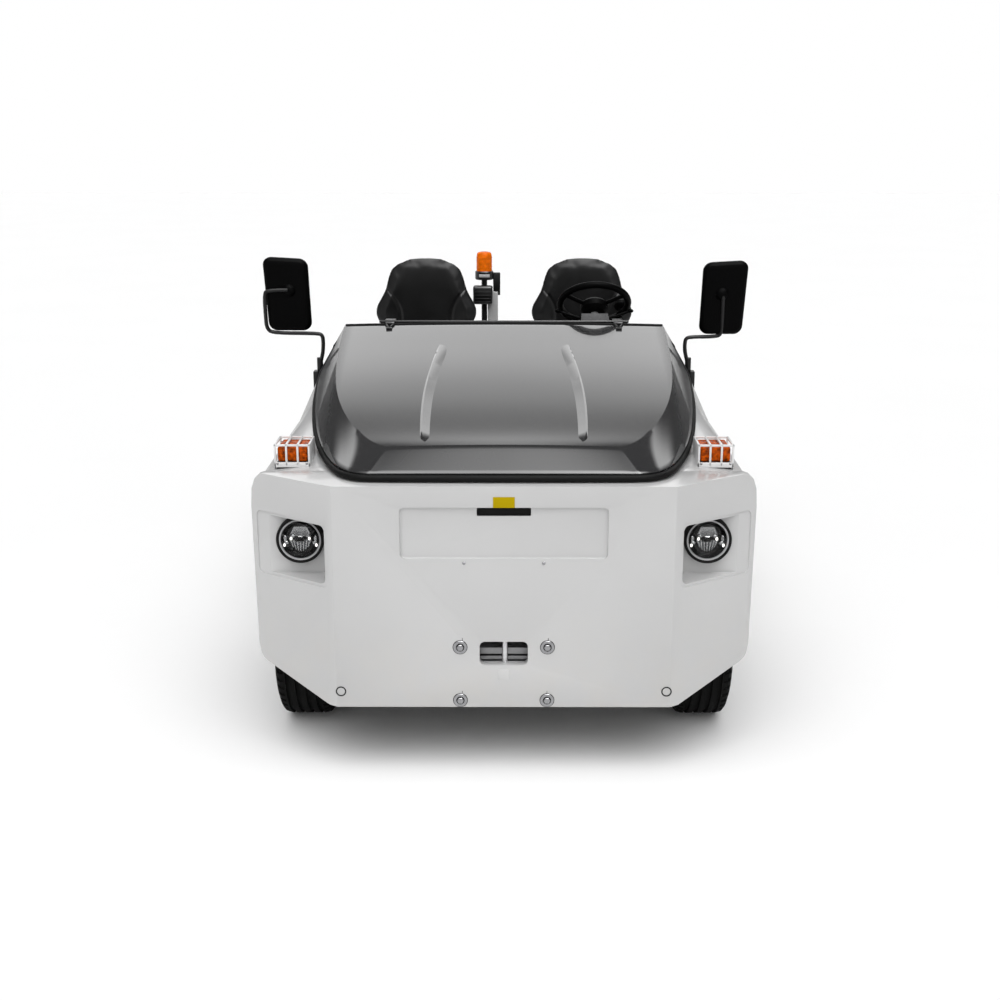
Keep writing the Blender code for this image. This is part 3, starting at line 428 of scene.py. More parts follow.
def revolve(name, profile, centre, axis, steps):
    """Spin a profile of (radius, height) about the axis. Height runs along +axis."""
    clear_selection()
    mesh = bpy.data.meshes.new(name)
    mesh.from_pydata([(r, 0, h) for r, h in profile], [(i, i + 1) for i in range(len(profile) - 1)], [])
    obj = linked(name, mesh)
    edit_all(obj)
    bpy.ops.mesh.spin(steps=steps, angle=2 * math.pi, center=(0, 0, 0), axis=(0, 0, 1))
    bpy.ops.mesh.select_all(action="SELECT")
    bpy.ops.mesh.remove_doubles(threshold=SAME_PLACE)
    bpy.ops.mesh.normals_make_consistent(inside=False)
    bpy.ops.object.mode_set(mode="OBJECT")
    obj.rotation_euler = TURNS[axis]
    obj.location = centre
    return settle(obj)


def collar(name, inner, outer, foot, height, centre, axis, steps):
    """A low ring round the axis, as wide as outer on top and as wide as foot where it stands."""
    return revolve(name, [(inner, 0.0), (inner, height), (outer, height), (foot, 0.0), (inner, 0.0)], centre,
                   axis,
                   steps)


def sweep(name, points, radius, resolution=4):
    """A round bar along the points."""
    clear_selection()
    curve = bpy.data.curves.new(name, "CURVE")
    curve.dimensions = "3D"
    curve.bevel_depth = radius
    curve.bevel_resolution = resolution
    curve.use_fill_caps = True
    curve.resolution_u = 6
    spline = curve.splines.new("NURBS")
    spline.points.add(len(points) - 1)
    for point, place in zip(spline.points, points):
        point.co = (*place, 1)
    spline.order_u = 3
    spline.use_endpoint_u = True
    activate(linked(name, curve))
    bpy.ops.object.convert(target="MESH")
    return weld(named(name))


def modifier(obj, kind, **settings):
    made = obj.modifiers.new(kind.lower(), kind)
    for key, value in settings.items():
        setattr(made, key, value)
    activate(obj)
    bpy.ops.object.modifier_apply(modifier=made.name)
    return obj


def cut(obj, cutter):
    """Take the cutter out of the object and remove it."""
    modifier(obj, "BOOLEAN", operation="DIFFERENCE", object=cutter, solver="EXACT")
    bpy.data.objects.remove(cutter, do_unlink=True)


def soften(obj, width, segments=3, angle=30):
    return modifier(obj, "BEVEL", width=width, segments=segments, limit_method="ANGLE",
                    angle_limit=math.radians(angle), use_clamp_overlap=True)


def smooth(obj, angle=35):
    activate(obj)
    bpy.ops.object.shade_smooth_by_angle(angle=math.radians(angle))
    return obj


def weld(obj, distance=SAME_PLACE, flatten=0.0):
    """Merge a mesh's loose corners, and with flatten join faces that lie in one plane."""
    edit_all(obj)
    bpy.ops.mesh.remove_doubles(threshold=distance)
    if flatten:
        bpy.ops.mesh.dissolve_limited(angle_limit=math.radians(flatten))
    return leave_edit(obj)


def face_outward(obj):
    """Point a mirrored block's faces outward again."""
    edit_all(obj)
    bpy.ops.mesh.normals_make_consistent(inside=False)
    return leave_edit(obj)


def pick_faces(obj, test):
    """Enter edit mode with only the faces selected whose (centre, normal) pass the test."""
    activate(obj)
    bpy.ops.object.mode_set(mode="EDIT")
    bpy.ops.mesh.select_mode(type="FACE")
    bpy.ops.mesh.select_all(action="DESELECT")
    mesh = bmesh.from_edit_mesh(obj.data)
    for face in mesh.faces:
        face.select = test(face.calc_center_median(), face.normal)
    mesh.select_flush_mode()
    bmesh.update_edit_mesh(obj.data)


def round_corners(obj, radius, axis=1, segments=7):
    """Round the four edges of a block that run along the axis."""
    pick_faces(obj, lambda c, n: False)
    bpy.ops.mesh.select_mode(type="EDGE")
    mesh = bmesh.from_edit_mesh(obj.data)
    for item in mesh.edges:
        run = item.verts[0].co - item.verts[1].co
        item.select = abs(run[axis]) > 0.99 * run.length
    bmesh.update_edit_mesh(obj.data)
    bpy.ops.mesh.bevel(offset=radius, segments=segments)
    return leave_edit(obj)


def touch(node, origin, direction):
    """Where a line from origin first meets a node, and the way that face points."""
    obj = frame["nodes"][node]
    corners = [obj.matrix_world @ v.co for v in obj.data.vertices]
    tree = BVHTree.FromPolygons(corners, [tuple(p.vertices) for p in obj.data.polygons])
    place, normal = tree.ray_cast(Vector(origin), Vector(direction).normalized())[:2]
    if place is None:
        raise RuntimeError(f"no face of {node} at {tuple(origin)}")
    return place, normal.normalized()


def placed(obj, place, normal):
    """Stand a piece modelled along +Z on a face, upright when the face is upright."""
    turn = normal.to_track_quat("Z", "Y").to_matrix().to_4x4()
    obj.data.transform(Matrix.Translation(place) @ turn)
    return obj


def inset(obj, test, thickness, depth=0.0):
    pick_faces(obj, test)
    bpy.ops.mesh.inset(thickness=thickness, depth=depth)
    return leave_edit(obj)


def merge(name, objects):
    clear_selection()
    for obj in objects:
        obj.select_set(True)
    bpy.context.view_layer.objects.active = objects[0]
    if len(objects) > 1:
        bpy.ops.object.join()
    return named(name)


def copy_of(obj, name, move=(0, 0, 0)):
    made = obj.copy()
    made.data = obj.data.copy()
    made.name = name
    made.data.name = name
    bpy.context.scene.collection.objects.link(made)
    made.data.transform(Matrix.Translation(move))
    return made


def show(obj, body, paint, replaces=()):
    """Finish a piece: its material and the body that it moves with."""
    obj.data.materials.clear()
    obj.data.materials.append(PAINTS[paint].data)
    if replaces:
        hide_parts(*replaces)
    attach(obj, body)
    return obj


def body_of(node):
    return frame["nodes"][node]["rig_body"]


def welded_copy(node, name):
    """A copy of a frame node that stands for itself, with its flat faces joined."""
    piece = copy_of(frame["nodes"][node], name)
    piece.parent = None
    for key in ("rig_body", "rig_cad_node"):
        if key in piece:
            del piece[key]
    return weld(piece, flatten=1.0)


def dressed(node, name, paint, width=0.003, segments=3):
    """A welded copy of a frame node with its edges rounded, shown in the node's place."""
    piece = smooth(soften(welded_copy(node, name), width, segments))
    return show(piece, body_of(node), paint, (node,))


def hex_bolt(name, centre, size, axis):
    """A bolt head on its washer, standing on a face at centre and facing along axis."""
    head = revolve(name + "_head", [(0, 0.30 * size), (0.40 * size, 0.30 * size), (0.46 * size, 0.26 * size),
                                    (0.46 * size, 0.0)], centre, axis, 6)
    soften(head, 0.03 * size, 2, 40)
    washer = revolve(name + "_washer", [(0, 0.09 * size), (0.86 * size, 0.09 * size),
                                        (0.90 * size, 0.06 * size),
                                        (0.90 * size, -0.02 * size)], centre, axis, 40)
    return smooth(merge(name, [head, washer]))


# ---------------------------------------------------------------- values that a user would change
class TugLook(bpy.types.PropertyGroup):
    body_color: FloatVectorProperty(name="Body colour", description="Enamel on the body panels",
                                    subtype="COLOR",
                                    size=3, min=0, max=1, default=(0.51, 0.51, 0.51))
    hood_color: FloatVectorProperty(name="Hood colour", description="Gel coat on the hood", subtype="COLOR",
                                    size=3, min=0, max=1, default=(0.030, 0.030, 0.031))
    seat_color: FloatVectorProperty(name="Seat colour", description="Vinyl on the seats", subtype="COLOR",
                                    size=3, min=0, max=1, default=(0.0035, 0.0035, 0.0037))


class TugTrim(bpy.types.PropertyGroup):
    panel_edge: FloatProperty(name="Panel edge", description="Radius on the edges of the body panels",
                              subtype="DISTANCE", unit="LENGTH", default=0.006, min=0.0)
    seal_width: FloatProperty(name="Seal width", description="Half width of the rubber under the hood's edge",
                              subtype="DISTANCE", unit="LENGTH", default=0.0115, min=0.002)
    bolt_size: FloatProperty(name="Bolt size", description="Across corners of the front plate's bolt heads",
                             subtype="DISTANCE", unit="LENGTH", default=0.026, min=0.005)
    wheel_nuts: IntProperty(name="Wheel nuts", description="Nuts on each rim", default=6, min=3, max=12)


class TugTyre(bpy.types.PropertyGroup):
    lugs: IntProperty(name="Tread lugs", description="Blocks round the tread", default=52, min=12, max=120)
    groove: FloatProperty(name="Groove depth", description="Depth of the tread", subtype="DISTANCE",
                          unit="LENGTH",
                          default=0.009, min=0.0)


class TugSeat(bpy.types.PropertyGroup):
    pressure: FloatProperty(name="Foam pressure", description="How hard the foam pushes the cover out",
                            default=4.0, min=0.0)
    swell: FloatProperty(name="Largest swell", description="How far a point of the cover may move",
                         subtype="DISTANCE", unit="LENGTH", default=0.012, min=0.0)
    seam: FloatProperty(name="Seam depth", description="How far the sewn seams pull in", subtype="DISTANCE",
                        unit="LENGTH", default=0.006, min=0.0)


class TugStage(bpy.types.PropertyGroup):
    lens: FloatProperty(name="Lens", description="Focal length", subtype="DISTANCE_CAMERA", default=50.0)
    distance: FloatProperty(name="Distance", description="From the camera to the front plate", unit="LENGTH",
                            default=4.41)
    height: FloatProperty(name="Height", description="Camera height", unit="LENGTH", default=2.164)
    pitch: FloatProperty(name="Pitch", description="Downward tilt", subtype="ANGLE",
                         default=math.radians(15.15))
    yaw: FloatProperty(name="Yaw", description="Turn to the left", subtype="ANGLE",
                       default=math.radians(0.165))
    roll: FloatProperty(name="Roll", description="Roll", subtype="ANGLE", default=0.0)
    base_glow: FloatProperty(name="All-round glow", description="Light from everywhere", default=0.103,
                             min=0.0)
    back_glow: FloatProperty(name="Back glow",
                             description="What glossy surfaces mirror from behind and above", default=2.9,
                             min=0.0)
    front_glow: FloatProperty(name="Front glow", description="Light from the front", default=0.52, min=0.0)
    top_glow: FloatProperty(name="Top glow", description="Light from overhead", default=3.432, min=0.0)
    fill: FloatProperty(name="Fill", description="Power of the two front softboxes", default=8.32, min=0.0)


def look():
    return bpy.context.scene.tug_look


def trim():
    return bpy.context.scene.tug_trim


def tyre_values():
    return bpy.context.scene.tug_tyre


# ---------------------------------------------------------------- stage
def soft_light(name, place, target, size, power):
    data = bpy.data.lights.new(name, "AREA")
    data.shape = "RECTANGLE"
    data.size = size[0]
    data.size_y = size[1]
    data.energy = power
    obj = linked(name, data)
    obj.location = place
    obj.rotation_euler = (Vector(target) - obj.location).to_track_quat("-Z", "Y").to_euler()


def studio_world():
    """White to the camera; for the light it is bright behind and overhead, and soft in front."""
    world = bpy.data.worlds.new("studio")
    world.use_nodes = True
    tree = world.node_tree
    tree.nodes.clear()

    def node(kind, **settings):
        made = tree.nodes.new(kind)
        for key, value in settings.items():
            setattr(made, key, value)
        return made

    def ramp(source, start, end):
        made = node("ShaderNodeMapRange", interpolation_type="SMOOTHSTEP")
        tree.links.new(source, made.inputs["Value"])
        made.inputs["From Min"].default_value = start
        made.inputs["From Max"].default_value = end
        return made.outputs["Result"]

    def math_node(operation, one, two):
        made = node("ShaderNodeMath", operation=operation)
        for socket, value in zip(made.inputs, (one, two)):
            if isinstance(value, (int, float)):
                socket.default_value = value
            else:
                tree.links.new(value, socket)
        return made.outputs[0]

    def times(one, two):
        return math_node("MULTIPLY", one, two)

    def plus(one, two):
        return math_node("ADD", one, two)

    place = node("ShaderNodeTexCoord")
    split = node("ShaderNodeSeparateXYZ")
    tree.links.new(place.outputs["Generated"], split.inputs[0])
    across, ahead, up = (split.outputs[letter] for letter in "XYZ")
    aside = math_node("ABSOLUTE", across, 0.0)
    path = node("ShaderNodeLightPath")
    glossy = path.outputs["Is Glossy Ray"]
    back = times(times(ramp(ahead, 0.10, 0.45), ramp(up, 0.725, 0.622)), ramp(up, 0.20, 0.40))
    back = times(times(back, glossy), ramp(aside, 0.72, 0.45))
    front = times(ramp(times(ahead, -1.0), -0.2, 0.5), ramp(up, 0.8, 0.3))
    lean = math_node("SUBTRACT", times(up, 0.92), times(ahead, 0.39))
    mirrored = times(math_node("SUBTRACT", times(ramp(aside, 0.55, 0.30), 1.8), 1.0), glossy)
    overhead = times(ramp(lean, 0.66, 0.92), plus(mirrored, 1.0))
    tip = times(math_node("MAXIMUM", across, 0.0), times(glossy, 6.0))
    overhead = times(overhead, plus(tip, 1.0))
    stage = bpy.context.scene.tug_stage
    total = plus(times(back, stage.back_glow), times(front, stage.front_glow))
    total = plus(plus(total, times(overhead, stage.top_glow)), stage.base_glow)
    light = node("ShaderNodeBackground")
    tree.links.new(total, light.inputs["Strength"])
    seen = node("ShaderNodeBackground")
    seen.inputs["Color"].default_value = (1, 1, 1, 1)
    blend = node("ShaderNodeMixShader")
    out = node("ShaderNodeOutputWorld")
    tree.links.new(path.outputs["Is Camera Ray"], blend.inputs["Fac"])
    tree.links.new(light.outputs[0], blend.inputs[1])
    tree.links.new(seen.outputs[0], blend.inputs[2])
    tree.links.new(blend.outputs[0], out.inputs[0])
    return world


class TUG_OT_stage(bpy.types.Operator):
    """Floor, lights and camera"""
    bl_idname = "tug.stage"
    bl_label = "Stage"

    def execute(self, context):
        stage = context.scene.tug_stage
        clear_selection()
        bpy.ops.mesh.primitive_plane_add(size=80, location=(0, 0, 0))
        floor = named("studio_floor")
        ground = Paint("studio floor", (0.93, 0.93, 0.93), 0.9, Specular_IOR_Level=0.1)
        ground.set("Base Color", ground.mix(ground.noise(0.7, 2.0), (0.92, 0.92, 0.92), (0.94, 0.94, 0.94)))
        floor.data.materials.append(ground.data)

        context.scene.world = studio_world()
        aim = (0, FRONT_Y + 0.4, 0.7)
        for name, x in (("left_softbox", -3.4), ("right_softbox", 3.4)):
            soft_light(name, (x, FRONT_Y - 4.2, 1.5), aim, (2.4, 2.0), stage.fill)

        data = bpy.data.cameras.new("camera")
        data.lens = stage.lens
        data.sensor_width = 36
        camera = linked("camera", data)
        camera.matrix_world = (Matrix.Translation((0, FRONT_Y - stage.distance, stage.height))
                               @ Matrix.Rotation(stage.yaw, 4, "Z")
                               @ Matrix.Rotation(math.pi / 2 - stage.pitch, 4, "X")
                               @ Matrix.Rotation(stage.roll, 4, "Z"))
        context.scene.camera = camera
        context.scene.view_settings.view_transform = "Standard"
        return {"FINISHED"}


# ---------------------------------------------------------------- front body
POCKET_START = Vector((0.592, FRONT_Y + 0.0155, 0.770))  # inner end of the frame round a lamp pocket
POCKET_RUN = Vector((0.302, 0.211, 0)).normalized()  # along the swept end of the plate
POCKET_LENGTH = 0.318
POCKET_HALF = 0.113  # half the frame's height
POCKET_DEPTH = 0.0045
RECESS_HALF = 0.3465  # half the width of the name recess
PLATE_BOLTS = [(x, z) for z in (0.453, 0.260) for x in (-0.148, 0.148)]


class TUG_OT_front(bpy.types.Operator):
    """Front plate, shoulders, coupling and their fasteners"""
    bl_idname = "tug.front"
    bl_label = "Front body"

    def execute(self, context):
        edge = trim().panel_edge
        self.plate(edge)
        dressed("front_coupling", "front_coupler", "coupler", 0.0015, 2)
        pin = disc("coupler_pin", (0.004, FRONT_Y + 0.030, 0.414), 0.0098, 0.118, "Z", 32)
        show(smooth(soften(pin, 0.0015, 2)), "chassis", "zinc_bright")
        for side, label in SIDES:
            dressed(f"front_fender_{label}", f"shoulder_{label}", "body", edge * 0.7)
            self.cage(side, label)
        self.fasteners()
        self.labels()
        return {"FINISHED"}

    def plate(self, edge):
        """The plate with a shallow rounded frame pressed in round each lamp pocket."""
        piece = welded_copy("front_bumper", "front_plate")
        out = 0.030  # how far the cutter stands out in front
        turn = Matrix.Rotation(math.atan2(POCKET_RUN.y, POCKET_RUN.x), 4, "Z")
        mid = POCKET_START + POCKET_RUN * (POCKET_LENGTH / 2)
        for side, label in SIDES:
            cutter = block("pocket_frame", (-POCKET_LENGTH / 2, -POCKET_DEPTH, -POCKET_HALF),
                           (POCKET_LENGTH / 2, out, POCKET_HALF))
            round_corners(cutter, 0.022)
            cutter.data.transform(Matrix.Translation(mid) @ turn @ Matrix.Translation((0, -out + POCKET_DEPTH,
                                                                                       0)))
            if side < 0:
                cutter.data.transform(TO_OTHER_SIDE)
                cutter.data.flip_normals()
            cut(piece, cutter)
        floor = touch("front_bumper", (0.05, FRONT_Y - 0.5, 0.84), (0, 1, 0))[0].y
        cutter = block("name_frame", (-RECESS_HALF, FRONT_Y - 0.01, 0.7665),
                       (RECESS_HALF, floor + 0.0003, 0.9435))
        soften(round_corners(cutter, 0.016), 0.0035, 3, 50)
        cut(piece, cutter)
        soften(piece, edge * 0.75, 3, 25)
        smooth(piece)
        show(piece, "chassis", "body", ("front_bumper",))

    def cage(self, side, label):
        """Front frame with two bars, three bars over the top and a closed inner side."""
        a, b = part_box(f"lamp_guard_{label}")
        rim = bar = 0.0075
        low, foot = a.z + 0.014, a.z + 0.002
        inner, outer = (a.x, b.x) if side > 0 else (b.x, a.x)
        parts = [((a.x, a.y, foot + 0.006), (b.x, a.y + rim, low + 0.012)),
                 ((a.x, a.y, b.z - rim), (b.x, a.y + rim, b.z)),
                 ((a.x, b.y - rim, b.z - rim), (b.x, b.y, b.z)),
                 ((inner, a.y, foot), (inner + side * rim, b.y, b.z)),
                 ((outer - side * rim, a.y, foot), (outer, a.y + rim, b.z)),
                 ((outer - side * rim, b.y - rim, foot), (outer, b.y, b.z)),
                 ((outer - side * rim, a.y, b.z - rim), (outer, b.y, b.z)),
                 ((outer - side * rim, a.y, foot), (outer, b.y, low + 0.006))]
        pitch = (b.x - a.x - 2 * rim + bar) / 3
        for number in (1, 2):
            x = a.x + rim + number * pitch - bar
            parts.append(((x, a.y, low), (x + bar, a.y + rim, b.z)))
            parts.append(((x, a.y, b.z - rim), (x + bar, b.y, b.z)))
        bars = []
        for one, two in parts:
            ends = [sorted(pair) for pair in zip(one, two)]
            bars.append(soften(block("cage_bar", [e[0] for e in ends], [e[1] for e in ends]), 0.0022, 2))
        # The cage paint is the body white brightened as painted light.
        show(smooth(merge(f"lamp_cage_{label}", bars)), "chassis", "cage",
             (f"lamp_guard_{label}",))

    def fasteners(self):
        size = trim().bolt_size
        bolts = [hex_bolt("bolt", (x, FRONT_Y, z), size, "-Y") for x, z in PLATE_BOLTS]
        show(merge("plate_bolts", bolts), "chassis", "zinc")
        # Black rings round each washer and each bolt head are painted shade in the crevices round the bolts.
        shade_rings = []
        for x, z in PLATE_BOLTS:
            for name, *shares in (("shade_ring", 0.70, 0.955, 0.975, 0.045),
                                  ("shadow_ring", 0.30, 0.545, 0.56, 0.11)):
                shade_rings.append(collar(name, *(share * size for share in shares), (x, FRONT_Y, z), "-Y", 48))
        show(smooth(merge("bolt_shade_rings", shade_rings)), "chassis", "pole")
        marks = []
        for x, z in ((-0.141, 0.482), (0.150, 0.482), (-0.142, 0.289), (0.147, 0.289)):
            marks.append(block("scribe", (x, FRONT_Y - 0.0005, z - 0.005),
                               (x + 0.0016, FRONT_Y + 0.0003, z + 0.005)))
        for side, label in SIDES:
            marks.append(collar("tie_mark", 0.0135, 0.0180, 0.0180, 0.0006, (side * 0.556, FRONT_Y, 0.292),
                                "-Y", 40))
        show(smooth(merge("plate_marks", marks)), "chassis", "pole")
        screws = []
        for x in (-0.133, 0.133):
            dome = revolve("screw", [(0, 0.004), (0.003, 0.0036), (0.0055, 0.0018), (0.006, -0.0005)],
                           (x, FRONT_Y, 0.752), "-Y", 24)
            screws.append(smooth(dome))
        show(merge("plate_screws", screws), "chassis", "zinc")

    def labels(self):
        for name, left, right, foot, top, thick, corner, paint in (
                ("name_label", -0.036, 0.036, 0.943, 0.980, 0.0012, 0.003, "label"),
                ("slot_label", -0.020, 0.016, 0.336, 0.372, 0.0008, 0.002, "decal")):
            label = block(name, (left, FRONT_Y - thick, foot), (right, FRONT_Y + 0.0004, top))
            show(smooth(soften(label, corner, 3, 80)), "chassis", paint)
        # A black recessed sheet behind the hand slot: painted shade inside the slot.
        shade_liner = block("hand_slot_shade_liner", (-0.089, FRONT_Y + 0.012, 0.913), (0.089, FRONT_Y + 0.034, 0.939))
        inset(shade_liner, lambda c, n: n.y < -0.9, 0.004, -0.009)
        soften(shade_liner, 0.001, 2)
        show(smooth(shade_liner), "chassis", "seal")


# ---------------------------------------------------------------- hood
# Rows of the hood from nose to rear: (fold, edge), each as shares of half width, length and rise.
HOOD_ROWS = (
    ((0.530, 0.105, 0.180), (0.604, 0.000, 0.000)), ((0.605, 0.135, 0.205), (0.682, 0.018, 0.000)),
    ((0.675, 0.199, 0.258), (0.758, 0.075, 0.000)), ((0.772, 0.347, 0.395), (0.850, 0.265, 0.007)),
    ((0.824, 0.492, 0.528), (0.913, 0.430, 0.080)), ((0.848, 0.621, 0.647), (0.952, 0.585, 0.175)),
    ((0.863, 0.829, 0.838), (0.991, 0.820, 0.300)), ((0.856, 1.000, 1.000), (1.000, 1.000, 0.404)),
)
HOOD_CROWN = 0.009
HOOD_HINGE_X = 0.457
HOOD_SHARES = (-0.86, -0.6, -0.3, 0.0, 0.3, 0.6, 0.86)


def hood_frame():
    """Half width, nose, length, sill height and rise of the hood, read from its frame node."""
    a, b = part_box("hood")
    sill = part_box("hood_seal")[0].z + 0.010 + 0.021
    return b.x, a.y, b.y - a.y, sill, b.z - HOOD_CROWN * 0.93 - sill


def hood_place(share, lift=0.0):
    half, nose, length, sill, rise = hood_frame()
    return Vector((share[0] * half, nose + share[1] * length, sill + share[2] * rise + lift))


def hood_surface(x, distance):
    """Height of the hood's top at x and a distance behind the front plate."""
    half, nose, length, sill, rise = hood_frame()
    along = (behind(distance) - nose) / length
    folds = [fold for fold, edge in HOOD_ROWS]
    for (x0, d0, z0), (x1, d1, z1) in zip(folds, folds[1:]):
        if along <= d1 or d1 == 1.0:
            t = (along - d0) / (d1 - d0)
            wide = (x0 + t * (x1 - x0)) * half
            crown = HOOD_CROWN * (0.5 + 0.5 * wide / half) * (1 - (x / wide) ** 2)
            return sill + (z0 + t * (z1 - z0)) * rise + crown


class TUG_OT_hood(bpy.types.Operator):
    """Hood shell, its two ribs, edge rubber and hinges"""
    bl_idname = "tug.hood"
    bl_label = "Hood"

    def execute(self, context):
        self.shell()
        self.ribs()
        self.edges()
        self.hinges()
        return {"FINISHED"}

    def shell(self):
        """A grid laid over the rows, with its fold lines creased and its rim turned under."""
        columns = len(HOOD_SHARES) + 4
        rows = len(HOOD_ROWS) + 1
        clear_selection()
        bpy.ops.mesh.primitive_grid_add(x_subdivisions=columns - 1, y_subdivisions=rows - 1, size=1)
        shell = settle(named("hood_shell"))
        for index, vertex in enumerate(shell.data.vertices):
            row, column = divmod(index, columns)
            fold, edge = HOOD_ROWS[max(row - 1, 0)]
            side = -1 if column < columns / 2 else 1
            if column in (0, columns - 1):
                vertex.co = hood_place((side * edge[0], edge[1], edge[2]))
                continue
            share = side if column in (1, columns - 2) else HOOD_SHARES[column - 2]
            if row == 0:
                vertex.co = hood_place((share * edge[0] * (0.93 if abs(share) == 1 else 1.0), edge[1],
                                        edge[2]))
            else:
                crown = HOOD_CROWN * (0.5 + 0.5 * fold[0]) * (1 - share * share)
                vertex.co = hood_place((share * fold[0], fold[1], fold[2]), crown)
        weld(shell, 0.0005)
        self.crease(shell)
        modifier(shell, "SUBSURF", levels=3, render_levels=3)
        modifier(shell, "SOLIDIFY", thickness=0.008, offset=-1, use_even_offset=True)
        soften(shell, 0.0016, 2, 60)
        smooth(shell, 24)
        show(shell, "hood", "hood", ("hood",))

    def crease(self, shell):
        """Crisp side folds and nose corners, a softer fold across the nose."""
        folds = [hood_place((side * fold[0], fold[1], fold[2])) for fold,
                 edge in HOOD_ROWS for side in (1, -1)]
        corner = [hood_place((side * HOOD_ROWS[0][1][0], 0, 0)) for side in (1, -1)]
        nose = hood_place((0, HOOD_ROWS[0][0][1], 0)).y
        mesh = bmesh.new()
        mesh.from_mesh(shell.data)
        layer = mesh.edges.layers.float.get("crease_edge") or mesh.edges.layers.float.new("crease_edge")
        for item in mesh.edges:
            ends = [vertex.co for vertex in item.verts]
            on_fold = [any((end - place).length < 0.002 for place in folds) for end in ends]
            on_corner = [any((end - place).length < 0.002 for place in corner) for end in ends]
            if item.is_boundary or all(on_fold) or (any(on_fold) and any(on_corner)):
                item[layer] = 1.0
            elif all(abs(end.y - nose) < 0.002 for end in ends):
                item[layer] = 0.55
        mesh.to_mesh(shell.data)
        mesh.free()

    def ribs(self):
        """Two slim blades that widen and flatten out towards the rear, each with a sloped inner face."""
        steps = 26
        for side, label in SIDES:
            clear_selection()
            bpy.ops.mesh.primitive_grid_add(x_subdivisions=4, y_subdivisions=steps, size=1)
            rib = settle(named(f"hood_rib_{label}"))
            for index, vertex in enumerate(rib.data.vertices):
                row, column = divmod(index, 5)
                t = row / steps
                distance = 0.195 + t * 0.775
                x = 0.268 - 0.042 * t + 0.024 * math.sin(math.pi * t)
                tip = math.sqrt(max(0.0, 1 - max(0.0, 1 - t / 0.07) ** 2))
                fade = 1 - max(0.0, t - 0.55) / 0.45
                wide = (0.038 + 0.014 * t) * tip
                high = 0.0100 * tip * fade
                across, up = ((-1.0, -0.6), (-0.78, 0.04), (0.55, 0.92), (0.80, 0.80), (1.0, -0.6))[column]
                px = x + across * wide / 2
                vertex.co = (side * px, behind(distance), hood_surface(px, distance) + max(up * high,
                                                                                           -0.004) - 0.0004)
            if side < 0:
                rib.data.flip_normals()
            modifier(rib, "SOLIDIFY", thickness=0.003, offset=-1)
            smooth(rib, 22)
            show(rib, "hood", "hood")

    def edges(self):
        points = [hood_place((-edge[0], edge[1], edge[2]), -0.017) for fold, edge in reversed(HOOD_ROWS)]
        points += [hood_place(edge, -0.017) for fold, edge in HOOD_ROWS]
        seal = sweep("edge_seal", points, trim().seal_width, resolution=5)
        show(smooth(seal), "chassis", "seal", ("hood_seal",))
        fold = HOOD_ROWS[-1][0]
        rear = []
        for step in range(-8, 9):
            share = step / 8
            rise = HOOD_CROWN * (0.5 + 0.5 * fold[0]) * (1 - share * share)
            rear.append(hood_place((share * (fold[0] - 0.004), 0.9975, 0.9975), rise + 0.0005))
        show(smooth(sweep("hood_rear_rubber", rear, 0.0042)), "hood", "seal")

    def hinges(self):
        dressed("hood_hinges", "hinge_rod", "smooth", 0.0012, 2)
        for side, label in SIDES:
            x = side * HOOD_HINGE_X
            parts = []
            for lean in (-1, 1):
                arm = sweep("hinge_arm", [(x + lean * 0.016, behind(1.142), hood_surface(x, 1.142) + 0.004),
                                          (x + lean * 0.011, behind(1.128), hood_surface(x, 1.128) + 0.005),
                                          (x + lean * 0.005, behind(1.108), hood_surface(x, 1.108) + 0.004)],
                            0.0042)
                parts.append(smooth(arm))
            foot = block("hinge_foot", (x - 0.012, behind(1.115), hood_surface(x, 1.10) + 0.0005),
                         (x + 0.012, behind(1.094), hood_surface(x, 1.10) + 0.0075))
            parts.append(smooth(soften(foot, 0.002, 2)))
            knuckle = disc("hinge_knuckle", (x, behind(1.142), hood_surface(x, 1.142) + 0.006), 0.0060, 0.036,
                           "X", 24)
            parts.append(smooth(soften(knuckle, 0.0012, 2)))
            show(merge(f"hood_hinge_leaf_{label}", parts), "hood", "smooth")


